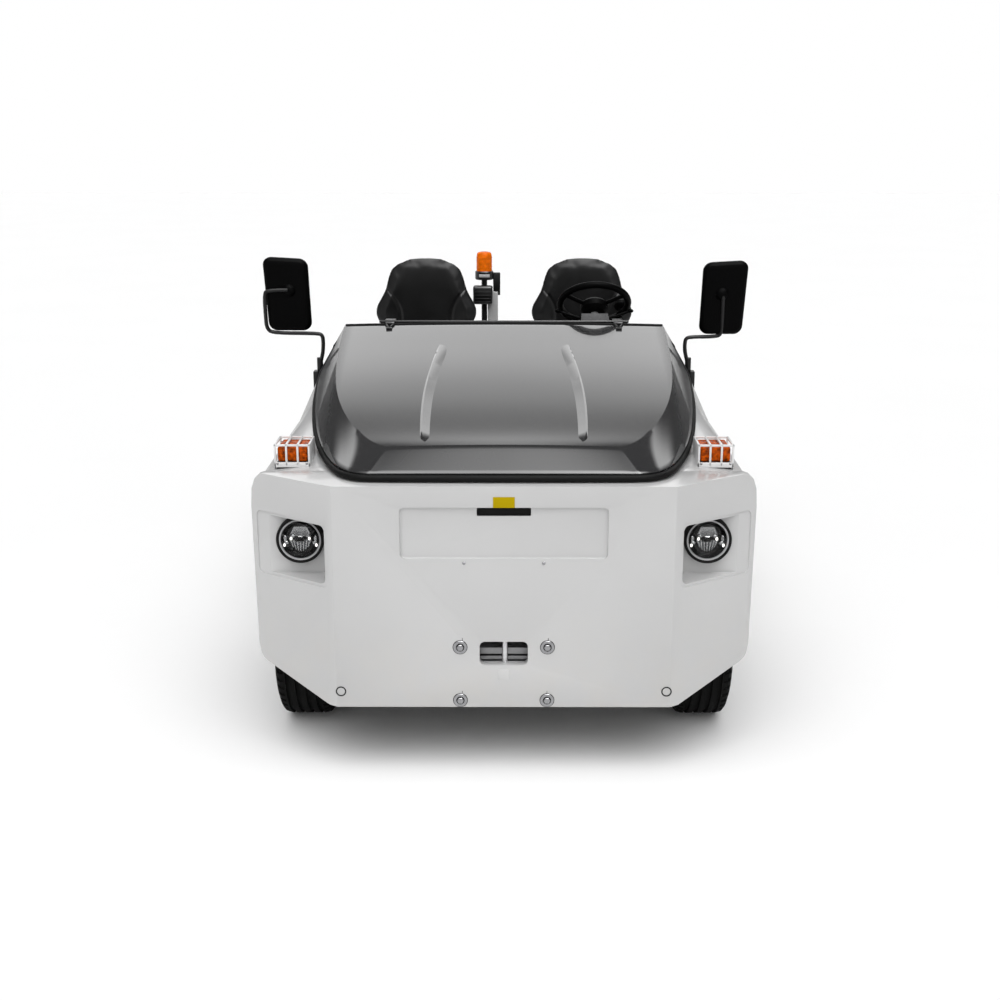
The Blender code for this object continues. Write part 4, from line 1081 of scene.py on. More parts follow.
# ---------------------------------------------------------------- lamps
class TUG_OT_lamps(bpy.types.Operator):
    """Headlamps, turn lamps, tail lamps, beacon and work lamp"""
    bl_idname = "tug.lamps"
    bl_label = "Lamps"

    def execute(self, context):
        for side, label in SIDES:
            self.headlamp(label)
            self.turn_lamp(label)
            self.cage_screws(label)
            self.tail_lamp(label)
        self.beacon()
        self.work_lamp()
        return {"FINISHED"}

    def headlamp(self, label):
        node = f"headlight_{label}"
        a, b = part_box(node)
        cx, cz = (a.x + b.x) / 2, (a.z + b.z) / 2
        r = (b.x - a.x) / 2
        face, back = a.y, b.y
        deep = back - face
        centre = (cx, back, cz)
        bezel = revolve(f"lamp_rubber_{label}", [
            (0, 0.0), (0, 0.006), (r - 0.0085, 0.006), (r - 0.0085, deep - 0.003), (r - 0.006, deep),
                                                 (r - 0.002, deep - 0.001),
            (r, deep - 0.005), (r, 0.0), (0, 0.0)], centre, "-Y", 96)
        show(smooth(bezel), "chassis", "seal", (node,))
        bright = revolve(f"lamp_ring_{label}", [
            (r - 0.0165, 0.0075), (r - 0.0165, deep - 0.0095), (r - 0.0138, deep - 0.0045),
                                                (r - 0.0105, deep - 0.0050),
            (r - 0.0088, deep - 0.009), (r - 0.0088, 0.0075), (r - 0.0165, 0.0075)], centre, "-Y", 96)
        show(smooth(bright), "chassis", "ring")
        cup = revolve(f"lamp_bezel_{label}", [
            (0, 0.0085), (r - 0.030, 0.0085), (r - 0.026, 0.012), (r - 0.0172, deep - 0.008),
                                              (r - 0.0168, deep - 0.010),
            (r - 0.0168, 0.007), (0, 0.007)], centre, "-Y", 72)
        show(smooth(cup), "chassis", "inner")
        self.optics(label, cx, back - 0.0085, cz, r - 0.026)
        inner = r - 0.0170
        cover = revolve(f"lamp_glass_{label}", [
            (0, deep - 0.003), (inner * 0.6, deep - 0.0038), (inner, deep - 0.0062), (inner, deep - 0.0078),
            (inner * 0.6, deep - 0.0054), (0, deep - 0.0046)], centre, "-Y", 72)
        show(smooth(cover), "chassis", "glass")

    def optics(self, label, cx, back, cz, r):
        """Upper shade, fluted lower bowl, dark bridge between them, and four chips with their mirrors."""
        front = back - 0.010
        upper = block("shade", (cx - 0.70 * r, front, cz + 0.12 * r), (cx + 0.70 * r, back, cz + 0.78 * r))
        for vertex in upper.data.vertices:
            if vertex.co.z > cz + 0.5 * r:
                vertex.co.x = cx + (vertex.co.x - cx) * 0.60
                vertex.co.y += 0.006
        inset(upper, lambda c, n: n.y < -0.6, 0.004, -0.003)
        soften(upper, 0.004, 4, 20)
        flutes = []
        for step in range(-3, 4):
            x = cx + step * r * 0.205
            drop = r * (0.80 - 0.030 * step * step)
            flute = disc("flute", (x, back - 0.004, cz - 0.02 * r - drop / 2), r * 0.112, drop, "Z", 20)
            for vertex in flute.data.vertices:
                if vertex.co.z < cz - 0.3 * r:
                    vertex.co.x = cx + (vertex.co.x - cx) * 0.72
                    vertex.co.y += 0.004
            flutes.append(soften(flute, 0.002, 2))
        show(smooth(merge(f"lamp_reflector_{label}", [upper] + flutes)), "chassis", "chrome")
        bridge = []
        for x, z, wide, high in ((0, 0.06, 1.62, 0.17), (-0.30, 0.14, 0.34, 0.13), (0.30, 0.14, 0.34, 0.13),
                                 (0, -0.08, 0.5, 0.12)):
            bar = block("bridge", (cx + (x - wide / 2) * r, front - 0.002, cz + (z - high / 2) * r),
                        (cx + (x + wide / 2) * r, back, cz + (z + high / 2) * r))
            bridge.append(soften(bar, 0.0015, 2))
        show(smooth(merge(f"lamp_bridge_{label}", bridge)), "chassis", "inner")
        chips = []
        shells = []
        for x, z in ((-0.56, 0.06), (0.56, 0.06), (-0.98, -0.36), (0.98, -0.36)):
            place = (cx + x * r, front - 0.003, cz + z * r)
            chips.append(ball("chip", place, 0.078 * r, (1.0, 0.6, 1.35), 20))
            shells.append(ball("shell", (place[0] - 0.10 * r * (1 if x > 0 else -1), front + 0.001,
                                         place[2] + 0.13 * r),
                               0.13 * r, (1.3, 0.5, 1.0), 20))
        for x in (-0.94, 0.94):
            shells.append(ball("shell", (cx + x * r, front + 0.001, cz + 0.06 * r), 0.16 * r, (0.8, 0.5, 1.3),
                               20))
        show(smooth(merge(f"lamp_chips_{label}", chips)), "chassis", "led")
        show(smooth(merge(f"lamp_side_mirrors_{label}", shells)), "chassis", "chrome")

    def turn_lamp(self, label):
        node = f"turn_signal_{label}"
        a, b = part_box(node)
        grow = Vector((0.009, 0.009, 0.009))
        a, b = a - grow, b + grow
        a.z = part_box(node)[0].z
        body = block(f"turn_lamp_{label}", (a.x, a.y, a.z + 0.024), b)
        soften(body, 0.010, 4)
        ribs = [body]
        for step in range(5):
            z = a.z + 0.034 + step * (b.z - a.z - 0.048) / 4
            rib = block("lamp_rib", (a.x + 0.002, a.y - 0.0008, z - 0.0012),
                        (b.x - 0.002, b.y + 0.0008, z + 0.0012))
            ribs.append(soften(rib, 0.0008, 2))
        show(smooth(merge(f"turn_lamp_{label}", ribs)), "chassis", "amber", (node,))
        floor = block(f"turn_lamp_base_{label}", (a.x - 0.002, a.y - 0.002, a.z + 0.002),
                      (b.x + 0.002, b.y + 0.002, a.z + 0.026))
        inset(floor, lambda c, n: n.z > 0.9, 0.004, -0.002)
        soften(floor, 0.004, 3)
        show(smooth(floor), "chassis", "smooth")

    def cage_screws(self, label):
        a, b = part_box(f"lamp_guard_{label}")
        heads = []
        for x in (a.x + 0.012, b.x - 0.012):
            heads.append(ball("head", (x, a.y, a.z + 0.022), 0.0045, (1, 0.5, 1), 16))
        show(smooth(merge(f"cage_screws_{label}", heads)), "chassis", "zinc")

    def tail_lamp(self, label):
        node = f"tail_light_{label}"
        a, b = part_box(node)
        body = block(f"tail_lamp_body_{label}", a, (b.x, b.y - 0.008, b.z))
        soften(body, 0.004, 3)
        show(smooth(body), "chassis", "smooth", (node,))
        width = (b.x - a.x - 0.012) / 3
        for number, paint in enumerate(("amber", "red", "clear")):
            left = a.x + 0.003 + number * (width + 0.003)
            cell = block(f"tail_lens_{number}_{label}", (left, b.y - 0.009, a.z + 0.004),
                         (left + width, b.y - 0.001, b.z - 0.004))
            inset(cell, lambda c, n: n.y > 0.9, 0.004, 0.001)
            soften(cell, 0.002, 3)
            show(smooth(cell), "chassis", paint)

    def beacon(self):
        a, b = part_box("beacon")
        centre = ((a.x + b.x) / 2, (a.y + b.y) / 2, a.z)
        h = b.z - a.z
        r = (b.x - a.x) / 2
        dome = [(0, h), (0.018, h - 0.0005), (0.029, h - 0.003), (0.034, h - 0.009), (0.0355, h - 0.02)]
        rows = 6
        for i in range(rows):
            top = h - 0.024 - i * (h - 0.065) / rows
            dome += [(0.0362, top), (0.0372, top - 0.003), (0.0366, top - 0.008)]
        dome += [(0.0375, 0.040), (0, 0.040)]
        shell = revolve("beacon_lens", dome, centre, "Z", 72)
        show(smooth(shell, 50), "chassis", "beacon", ("beacon",))
        base = revolve("beacon_base", [(0, 0.0405), (r - 0.004, 0.0405), (r, 0.036), (r, 0.004),
                                       (r - 0.003, 0),
                                       (0, 0)], centre, "Z", 72)
        show(smooth(base), "chassis", "smooth")
        strip = block("beacon_strip", (centre[0] - 0.024, a.y - 0.0015, a.z + 0.013),
                      (centre[0] + 0.026, a.y + 0.012, a.z + 0.027))
        soften(strip, 0.002, 2)
        show(smooth(strip), "chassis", "decal")

    def work_lamp(self):
        dressed("work_light", "work_lamp", "smooth", 0.004, 3)
        a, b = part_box("work_light")
        fins = []
        for i in range(5):
            z = a.z + 0.012 + i * (b.z - a.z - 0.024) / 4
            fin = block("fin", (a.x + 0.008, a.y - 0.004, z - 0.002), (b.x - 0.008, a.y + 0.004, z + 0.002))
            fins.append(soften(fin, 0.001, 2))
        show(smooth(merge("work_lamp_fins", fins)), "chassis", "smooth")


# ---------------------------------------------------------------- wheels
RIM_RADIUS = 0.1655  # where the tyre's bead sits
NUT_CIRCLE = 0.098
HUB_FACE = 0.022  # the nuts' seat, outward from the wheel's middle


class TUG_OT_wheels(bpy.types.Operator):
    """Treaded tyres, rims with nuts, knuckles and axles"""
    bl_idname = "tug.wheels"
    bl_label = "Wheels"

    def execute(self, context):
        a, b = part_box("tyre_front_left")
        width = b.x - a.x
        radius = (b.z - a.z) / 2
        tyre = self.tyre(width, radius)
        nuts = self.nuts()
        for axle in AXLES:
            for side, label in SIDES:
                node = f"tyre_{axle}_{label}"
                centre = middle(node)
                body = f"{axle}_wheel_{label}"
                made = copy_of(tyre, f"tread_tyre_{axle}_{label}", centre)
                show(made, body, "tyre", (node,))
                dressed(f"rim_{axle}_{label}", f"wheel_rim_{axle}_{label}", "rim", 0.0015, 2)
                studs = copy_of(nuts, f"wheel_nuts_{axle}_{label}")
                if side < 0:
                    studs.data.transform(Matrix.Rotation(math.pi, 4, "Z"))
                studs.data.transform(Matrix.Translation(centre))
                show(studs, body, "zinc")
        for made in (tyre, nuts):
            bpy.data.objects.remove(made, do_unlink=True)
        for side, label in SIDES:
            dressed(f"knuckle_{label}", f"stub_axle_{label}", "chassis", 0.003, 2)
        dressed("front_axle", "front_beam", "chassis", 0.004, 2)
        dressed("rear_axle", "drive_axle", "chassis", 0.003, 2)
        return {"FINISHED"}

    def tyre(self, width, radius):
        half = width / 2
        groove = tyre_values().groove
        rim = RIM_RADIUS
        steps = tyre_values().lugs * 2
        side = [(rim, half - 0.020), (rim + 0.006, half - 0.013), (rim + 0.018, half - 0.007),
                (rim + 0.030, half - 0.005),
                (rim + 0.034, half - 0.0025), (rim + 0.060, half - 0.0005), (rim + 0.085, half),
                (radius - 0.042, half - 0.001), (radius - 0.036, half - 0.0025),
                (radius - 0.016, half - 0.010)]
        crown = [(radius - 0.006, half - 0.018), (radius - 0.0012, half - 0.034)]
        rib = 0.0075
        tread = []
        for x in (0.052, 0.018):
            tread += [(radius, x + rib), (radius - groove, x + rib - 0.002),
                      (radius - groove, x - rib + 0.002),
                      (radius, x - rib)]
        upper = side + crown + tread
        profile = upper + [(r, -h) for r, h in reversed(upper)] + [(rim, half - 0.020)]
        obj = revolve("tyre_master", profile, (0, 0, 0), "X", steps)
        lug = 2 * math.pi / steps

        def is_lug(c, n):
            r = math.hypot(c.y, c.z)
            turn = (math.atan2(c.z, c.y) / lug) % 2
            shoulder = half - 0.036 < abs(c.x) < half - 0.012
            return turn < 1 and shoulder and r > radius - 0.020

        pick_faces(obj, is_lug)
        bpy.ops.mesh.inset(thickness=0.0028, depth=-groove * 0.7)
        return smooth(leave_edit(obj), 28)

    def nuts(self):
        parts = []
        count = trim().wheel_nuts
        for i in range(count):
            a = 2 * math.pi * i / count
            place = (HUB_FACE, NUT_CIRCLE * math.cos(a), NUT_CIRCLE * math.sin(a))
            parts.append(hex_bolt("nut", place, 0.022, "X"))
        parts.append(smooth(revolve("cap", [(0, 0.016), (0.020, 0.015), (0.030, 0.010), (0.034, 0.0)],
                                    (0.052, 0, 0), "X", 48)))
        return merge("nut_master", parts)


# ---------------------------------------------------------------- seats
VOXEL = 0.006
CLOTH_FRAMES = 20
SEAM_SPREAD = 0.0055  # how wide the cover dips beside a seam


class TUG_OT_seats(bpy.types.Operator):
    """Two padded vinyl seats with winged backs and sewn seams"""
    bl_idname = "tug.seats"
    bl_label = "Seats"

    def execute(self, context):
        seat = context.scene.tug_seat
        back = self.pad("seat_back_left", "backrest_left", self.shape_back, seat)
        base = self.pad("seat_cushion_left", "cushion_left", self.shape_cushion, seat)
        shift = middle("seat_back_right").x - middle("seat_back_left").x
        pieces = [(back, "seat_back_left"), (base, "seat_cushion_left")]
        pieces.append((copy_of(back, "backrest_right", (shift, 0, 0)), "seat_back_right"))
        pieces.append((copy_of(base, "cushion_right", (shift, 0, 0)), "seat_cushion_right"))
        for piece, node in pieces:
            show(piece, "chassis", "vinyl", (node,))
        return {"FINISHED"}

    def pad(self, node, name, shape, seat):
        a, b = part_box(node)
        obj = block(name, a, b)
        edit_all(obj)
        bpy.ops.mesh.subdivide(number_cuts=23)
        bpy.ops.object.mode_set(mode="OBJECT")
        shape(obj, a, b)
        modifier(obj, "REMESH", mode="VOXEL", voxel_size=VOXEL)
        modifier(obj, "SMOOTH", factor=0.5, iterations=8)
        self.fit(obj, a, b)
        self.fill(obj, seat)
        modifier(obj, "SMOOTH", factor=0.5, iterations=16)
        self.fit(obj, a, b)
        self.sew(obj, name, a, b, seat.seam)
        modifier(obj, "SUBSURF", levels=1, render_levels=1)
        self.keep_inside(obj, a, b)
        return smooth(obj, 180)

    def fit(self, obj, a, b):
        """Stretch the smoothed cover back to the seat's full size."""
        corners = [v.co for v in obj.data.vertices]
        lo = Vector([min(c[i] for c in corners) for i in range(3)])
        hi = Vector([max(c[i] for c in corners) for i in range(3)])
        for v in obj.data.vertices:
            for i in range(3):
                v.co[i] = a[i] + 0.002 + (v.co[i] - lo[i]) / (hi[i] - lo[i]) * (b[i] - a[i] - 0.004)

    def keep_inside(self, obj, a, b):
        """No point of the cover leaves the room that the seat has."""
        for v in obj.data.vertices:
            for i in range(3):
                v.co[i] = min(max(v.co[i], a[i]), b[i])

    def shape_back(self, obj, a, b):
        """A shield outline with wings that stand forward of a hollowed centre."""
        middle_x = (a.x + b.x) / 2
        half = (b.x - a.x) / 2
        height = b.z - a.z
        outline = ((0.00, 0.80), (0.20, 0.83), (0.40, 0.87), (0.47, 0.93), (0.544, 1.0), (0.59, 0.985),
                   (0.636, 0.94),
                   (0.69, 0.865), (0.746, 0.805), (0.80, 0.775), (0.857, 0.755), (0.90, 0.715), (0.93, 0.665),
                   (0.967, 0.52),
                   (0.985, 0.36), (1.0, 0.20))
        for v in obj.data.vertices:
            u = (v.co.x - middle_x) / half
            t = (v.co.z - a.z) / height
            d = (v.co.y - a.y) / (b.y - a.y)
            w = sum(self.along(outline, min(max(t + step * 0.012, 0.0), 1.0)) for step in (-2, -1, 0, 1,
                                                                                           2)) / 5
            across = abs(u)
            wing = max(0.0, across - 0.55) / 0.45
            low_wing = max(0.0, 1 - abs(t - 0.50) / 0.42)
            front = 0.40 - 0.30 * wing * low_wing + 0.10 * (1 - across ** 2) * (1 - t)
            front += 0.35 * max(0.0, t - 0.75) ** 1.5 + 0.25 * max(0.0, across - 0.90) / 0.10 * 0.6
            rear = 0.97 - 0.35 * across ** 3 - 0.30 * max(0.0, t - 0.8) / 0.2
            v.co.x = middle_x + u * w * half
            v.co.y = a.y + (front + (rear - front) * d) * (b.y - a.y)
            v.co.z = a.z + (0.012 + 0.978 * t) * height

    def shape_cushion(self, obj, a, b):
        size = b - a
        centre = (a + b) / 2
        for v in obj.data.vertices:
            u = (v.co.x - centre.x) / (size.x / 2)
            t = (v.co.y - a.y) / size.y
            h = (v.co.z - a.z) / size.z
            side = max(0.0, abs(u) - 0.58) / 0.42
            top = 0.80 + 0.14 * side - 0.30 * max(0.0, abs(u) - 0.93) / 0.07 - 0.10 * (1 - u * u) * (t > 0.2)
            top -= 0.45 * max(0.0, 0.16 - t) / 0.16
            v.co.x = centre.x + u * size.x / 2 * (0.97 - 0.04 * (1 - t) ** 3)
            v.co.y = a.y + (0.015 + 0.97 * t) * size.y
            v.co.z = a.z + 0.004 + h * top * size.z

    def along(self, table, t):
        for (t0, w0), (t1, w1) in zip(table, table[1:]):
            if t <= t1:
                s = (t - t0) / (t1 - t0)
                return w0 + (w1 - w0) * s
        return table[-1][1]

    def fill(self, obj, seat):
        """Let the cover swell under the foam's pressure, then cap how far each point has moved."""
        scene = bpy.context.scene
        start = [v.co.copy() for v in obj.data.vertices]
        cloth = obj.modifiers.new("cloth", "CLOTH")
        cloth.settings.use_pressure = True
        cloth.settings.uniform_pressure_force = seat.pressure
        cloth.settings.quality = 4
        cloth.settings.effector_weights.gravity = 0
        cloth.collision_settings.use_self_collision = False
        for number in range(1, CLOTH_FRAMES + 1):
            scene.frame_set(number)
        activate(obj)
        bpy.ops.object.modifier_apply(modifier=cloth.name)
        scene.frame_set(1)
        for v, was in zip(obj.data.vertices, start):
            move = v.co - was
            if move.length > seat.swell:
                v.co = was + move * (seat.swell / move.length)

    def sew(self, obj, name, a, b, depth):
        """Pull the cover in along its seams."""
        centre = (a + b) / 2
        half = (b.x - a.x) / 2
        for v in obj.data.vertices:
            u = abs(v.co.x - centre.x) / half
            if name.startswith("backrest"):
                t = (v.co.z - a.z) / (b.z - a.z)
                line = 0.50 + 0.30 * max(0.0, (t - 0.52) / 0.24) ** 2 if t < 0.76 else 2.0
                front = v.co.y < centre.y + 0.01
                if front and t < 0.775:
                    v.co.y += depth * math.exp(-((u - line) * half / SEAM_SPREAD) ** 2)
                rim = 1 - abs(v.co.y - (a.y + 0.62 * (b.y - a.y))) / 0.004
                if rim > 0:
                    v.co.x += (centre.x - v.co.x) / half * 0.003 * rim
            else:
                t = (v.co.y - a.y) / (b.y - a.y)
                top = v.co.z > centre.z
                if top:
                    v.co.z -= depth * math.exp(-((u - 0.58) * half / SEAM_SPREAD) ** 2)
                    across = math.exp(-((t - 0.30) * (b.y - a.y) / SEAM_SPREAD) ** 2)
                    v.co.z -= depth * 0.9 * across * (u < 0.58)


# ---------------------------------------------------------------- cab
STEER_TILT = math.radians(40)  # the wheel's axis, back from upright
NEEDLE_TURN = math.radians(40)
SWITCHES = 6
MAT_X = (0.10, 0.72)  # inner and outer edge of a floor mat
MAT_RIBS = 22
COVER_DEPTH = 0.027  # thickness of the dashboard's end covers
MIRROR_LEAN = math.tan(math.radians(3.5))
MIRROR_WIDTH = 0.172
MIRROR_HEIGHT = 0.296


class TUG_OT_cab(bpy.types.Operator):
    """Dashboard, steering, pedals, floor, seat box and mirrors"""
    bl_idname = "tug.cab"
    bl_label = "Cab"

    def execute(self, context):
        edge = trim().panel_edge
        dressed("cowl_panel", "cowl", "body", 0.003)
        dressed("dashboard", "dash_top", "plastic", 0.010, 4)
        dressed("steering_column", "column_shroud", "console", 0.006, 3)
        dressed("pedals", "pedal_arms", "chassis", 0.002, 2)
        dressed("floor_pan", "floor", "chassis", 0.003, 2)
        dressed("seat_box", "seat_plinth", "body", edge)
        self.mast()
        self.steering()
        self.corners()
        self.dials()
        self.mat()
        for side, label in SIDES:
            self.mirror(side, label)
        return {"FINISHED"}

    def dials(self):
        """Three dials, a key switch and rocker switches on the dashboard."""
        faces = []
        rims = []
        needles = []
        for x, radius in ((0.20, 0.026), (0.13, 0.026), (0.05, 0.040)):
            place, normal = touch("dashboard", (x, 0.2, 1.262), (0, -1, 0))
            rims.append(placed(smooth(revolve("dial_rim", [(radius - 0.004, 0.0), (radius - 0.004, 0.004),
                                                           (radius - 0.002, 0.006),
                                                           (radius, 0.005), (radius + 0.002, 0.0),
                                                           (radius - 0.004, 0.0)],
                                              CENTRE, "Z", 48)), place, normal))
            faces.append(placed(revolve("dial_face", [(0, 0.0018), (radius - 0.003, 0.0018),
                                                      (radius - 0.003, -0.001), (0, -0.001)],
                                        CENTRE, "Z", 48), place, normal))
            needle = block("needle", (-0.0009, -0.004, 0.0018), (0.0009, radius - 0.010, 0.0032))
            needle.data.transform(Matrix.Rotation(NEEDLE_TURN, 4, "Z"))
            needles.append(placed(needle, place, normal))
            for turn in range(-120, 121, 30):
                tick = block("tick", (-0.0006, radius - 0.0085, 0.0017), (0.0006, radius - 0.0055, 0.0023))
                tick.data.transform(Matrix.Rotation(math.radians(turn), 4, "Z"))
                needles.append(placed(tick, place, normal))
        show(merge("dial_rims", rims), "chassis", "zinc")
        show(merge("dial_faces", faces), "chassis", "smooth")
        show(merge("dial_marks", needles), "chassis", "decal")
        keys = []
        for step in range(SWITCHES):
            x = -0.05 - step * 0.034
            place, normal = touch("dashboard", (x, 0.2, 1.250), (0, -1, 0))
            rocker = block("rocker", (-0.011, -0.018, -0.001), (0.011, 0.018, 0.006))
            for vertex in rocker.data.vertices:
                if vertex.co.z > 0.004 and vertex.co.y > 0:
                    vertex.co.z -= 0.0035
            keys.append(placed(smooth(soften(rocker, 0.0016, 2)), place, normal))
        place, normal = touch("dashboard", (0.56, 0.2, 1.250), (0, -1, 0))
        keys.append(placed(smooth(revolve("key_barrel", [(0, 0.010), (0.012, 0.010), (0.014, 0.008),
                                                         (0.016, 0.0), (0, 0.0)],
                                          CENTRE, "Z", 32)), place, normal))
        blade = block("key_bow", (-0.0015, -0.011, 0.009), (0.0015, 0.011, 0.034))
        keys.append(placed(smooth(soften(round_corners(blade, 0.007, 0), 0.0005, 2)), place, normal))
        show(merge("dash_switches", keys), "chassis", "smooth")

    def mat(self):
        """A ribbed rubber mat on the floor at each place."""
        place = touch("floor_pan", (0.35, -0.20, 1.0), (0, 0, -1))[0]
        parts = []
        for side, label in SIDES:
            low_x, high_x = sorted(side * x for x in MAT_X)
            base = round_corners(block("mat", (low_x, -0.300, place.z - 0.0005),
                                       (high_x, -0.085, place.z + 0.004)), 0.02, 2)
            parts.append(soften(base, 0.001, 2))
            for step in range(MAT_RIBS):
                x = low_x + 0.025 + step * (high_x - low_x - 0.05) / (MAT_RIBS - 1)
                parts.append(soften(block("mat_rib", (x - 0.004, -0.285, place.z + 0.0035),
                                          (x + 0.004, -0.100, place.z + 0.0065)),
                                    0.001, 1))
        show(smooth(merge("floor_mats", parts)), "chassis", "mat")

    def mast(self):
        """Pale square post, black lamp pole beside it, clamps and the beacon's bracket."""
        a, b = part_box("light_mast")
        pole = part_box("beacon")
        x = (pole[0].x + pole[1].x) / 2
        y = (a.y + b.y) / 2
        left = b.x - 0.051
        post = block("lamp_post", (left, y - 0.0245, a.z), (left + 0.049, y + 0.0245, 1.394))
        soften(post, 0.004, 3)
        inset(post, lambda c, n: n.z > 0.9, 0.003, -0.002)
        foot = block("post_foot", (left - 0.022, y - 0.045, a.z), (left + 0.071, y + 0.045, a.z + 0.007))
        show(smooth(merge("lamp_post", [post, soften(foot, 0.002, 2)])), "chassis", "body",
             ("light_mast",))
        bolts = [hex_bolt("foot_bolt", (left + 0.0245 + dx, y + dy, a.z + 0.007), 0.014, "Z")
                 for dx in (-0.036, 0.036) for dy in (-0.034, 0.034)]
        show(merge("post_bolts", bolts), "chassis", "zinc")
        parts = [disc("pole", (x, y, (1.06 + a.z + 0.5) / 2), 0.0135, a.z + 0.5 - 1.06, "Z", 32)]
        for low, high in ((1.08, 1.12), (1.362, 1.384)):
            parts.append(soften(block("clamp", (x - 0.020, y - 0.020, low), (left, y + 0.020, high)), 0.003,
                                2))
        arm = block("bracket", (x + 0.042, y - 0.011, 1.376), (left + 0.060, y + 0.011, 1.482))
        for vertex in arm.data.vertices:
            if vertex.co.z < 1.4 and vertex.co.x < left:
                vertex.co.z += 0.045
        parts.append(soften(arm, 0.003, 2))
        show(smooth(merge("lamp_pole", parts)), "chassis", "pole")

    def steering(self):
        """Rim, dished hub, spinner knob, the column's cover and its two stalks."""
        a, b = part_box("steering_wheel")
        axis = Vector((0, math.sin(STEER_TILT), math.cos(STEER_TILT)))
        hub = Vector(((a.x + b.x) / 2, (a.y + b.y) / 2, (a.z + b.z) / 2)) - axis * 0.018
        tilt = Matrix.Rotation(-STEER_TILT, 4, "X")
        radius = (b.x - a.x) / 2 - 0.0145
        rim = ring("rim", (0, 0, 0.012), radius, 0.0143, "Z", 72)
        parts = [smooth(rim)]
        for turn in (90, 210, 330):
            angle = math.radians(turn)
            out = Vector((math.cos(angle), math.sin(angle), 0))
            parts.append(smooth(sweep("spoke", [out * 0.020, out * 0.07 + Vector((0, 0, -0.004)),
                                                out * radius + Vector((0, 0, 0.010))], 0.0085)))
        parts.append(smooth(revolve("hub_dome", [(0, 0.024), (0.028, 0.022), (0.048, 0.014), (0.058, 0.002),
                                                 (0.058, -0.022),
                                                 (0.044, -0.036), (0, -0.038)], CENTRE, "Z", 48)))
        angle = math.radians(32)
        post = Vector((math.cos(angle) * radius, math.sin(angle) * radius, 0))
        knob = revolve("spinner", [(0, 0.064), (0.018, 0.062), (0.029, 0.052), (0.031, 0.038), (0.024, 0.026),
                                   (0.012, 0.020),
                                   (0.010, 0.0), (0, 0.0)], post + Vector((0, 0, 0.010)), "Z", 32)
        parts.append(smooth(knob))
        clamp = ring("clamp", post + Vector((0, 0, 0.012)), 0.0165, 0.0045, "Z", 32)
        parts.append(smooth(clamp))
        wheel = merge("steering_rim", parts)
        wheel.data.transform(Matrix.Translation(hub) @ tilt)
        show(wheel, "steering_wheel", "mirror_shell", ("steering_wheel",))
        low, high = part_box("steering_column")
        cover = block("column_cover", (0.316, -0.302, 1.330), (0.446, -0.262, 1.398))
        for vertex in cover.data.vertices:
            if vertex.co.z > 1.36:
                vertex.co.x += 0.008 if vertex.co.x < 0.38 else -0.014
        show(smooth(soften(cover, 0.006, 3)), "chassis", "console")
        stalks = []
        for side in (-1, 1):
            start = Vector(((low.x + high.x) / 2 + side * 0.052, high.y - 0.022, high.z - 0.052))
            stalks.append(smooth(sweep("stalk", [start, start + Vector((side * 0.05, 0.004, 0.012)),
                                                 start + Vector((side * 0.095, 0.008, 0.030))], 0.0055)))
            stalks.append(smooth(ball("stalk_tip", start + Vector((side * 0.098, 0.008, 0.031)), 0.0085,
                                      (1.5, 1, 1), 20)))
        show(merge("column_stalks", stalks), "chassis", "mirror_shell")

    def corners(self):
        """Black end covers that close the dashboard's upper corners behind the bonnet."""
        for side, label in SIDES:
            outline = ((0.590, 1.380), (0.634, 1.374), (0.690, 1.300), (0.700, 1.262), (0.700, 1.190),
                       (0.590, 1.190))
            clear_selection()
            mesh = bpy.data.meshes.new(f"cowl_corner_{label}")
            mesh.from_pydata([(side * x, -0.459, z) for x, z in outline], [], [tuple(range(len(outline)))])
            cover = linked(f"cowl_corner_{label}", mesh)
            modifier(cover, "SOLIDIFY", thickness=COVER_DEPTH, offset=1 if side < 0 else -1)
            face_outward(cover)
            span = [v.co.y for v in cover.data.vertices]
            if min(span) < -0.4591:
                cover.data.transform(Matrix.Translation((0, COVER_DEPTH, 0)))
            soften(cover, 0.004, 3)
            show(smooth(cover), "chassis", "mirror_shell")

    def mirror(self, side, label):
        """A domed case on a bent arm, its ball joint and the glass."""
        a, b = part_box(f"mirror_{label}")
        low = b.z - (0.312 if side > 0 else 0.298)
        outer = b.x + 0.012 if side > 0 else -a.x
        left, right = outer - MIRROR_WIDTH - MIRROR_HEIGHT * MIRROR_LEAN, outer - MIRROR_HEIGHT * MIRROR_LEAN
        front, rear = b.y - 0.037, b.y - 0.003

        def leaning(obj):
            for vertex in obj.data.vertices:
                u = (vertex.co.x - left) / (right - left)
                vertex.co.x += (vertex.co.z - low) * MIRROR_LEAN * (0.55 + 0.45 * u)
                vertex.co.z -= 0.010 * (1 - u) * (vertex.co.z - low) / MIRROR_HEIGHT
                vertex.co.x *= side
            if side < 0:
                obj.data.flip_normals()
            return obj

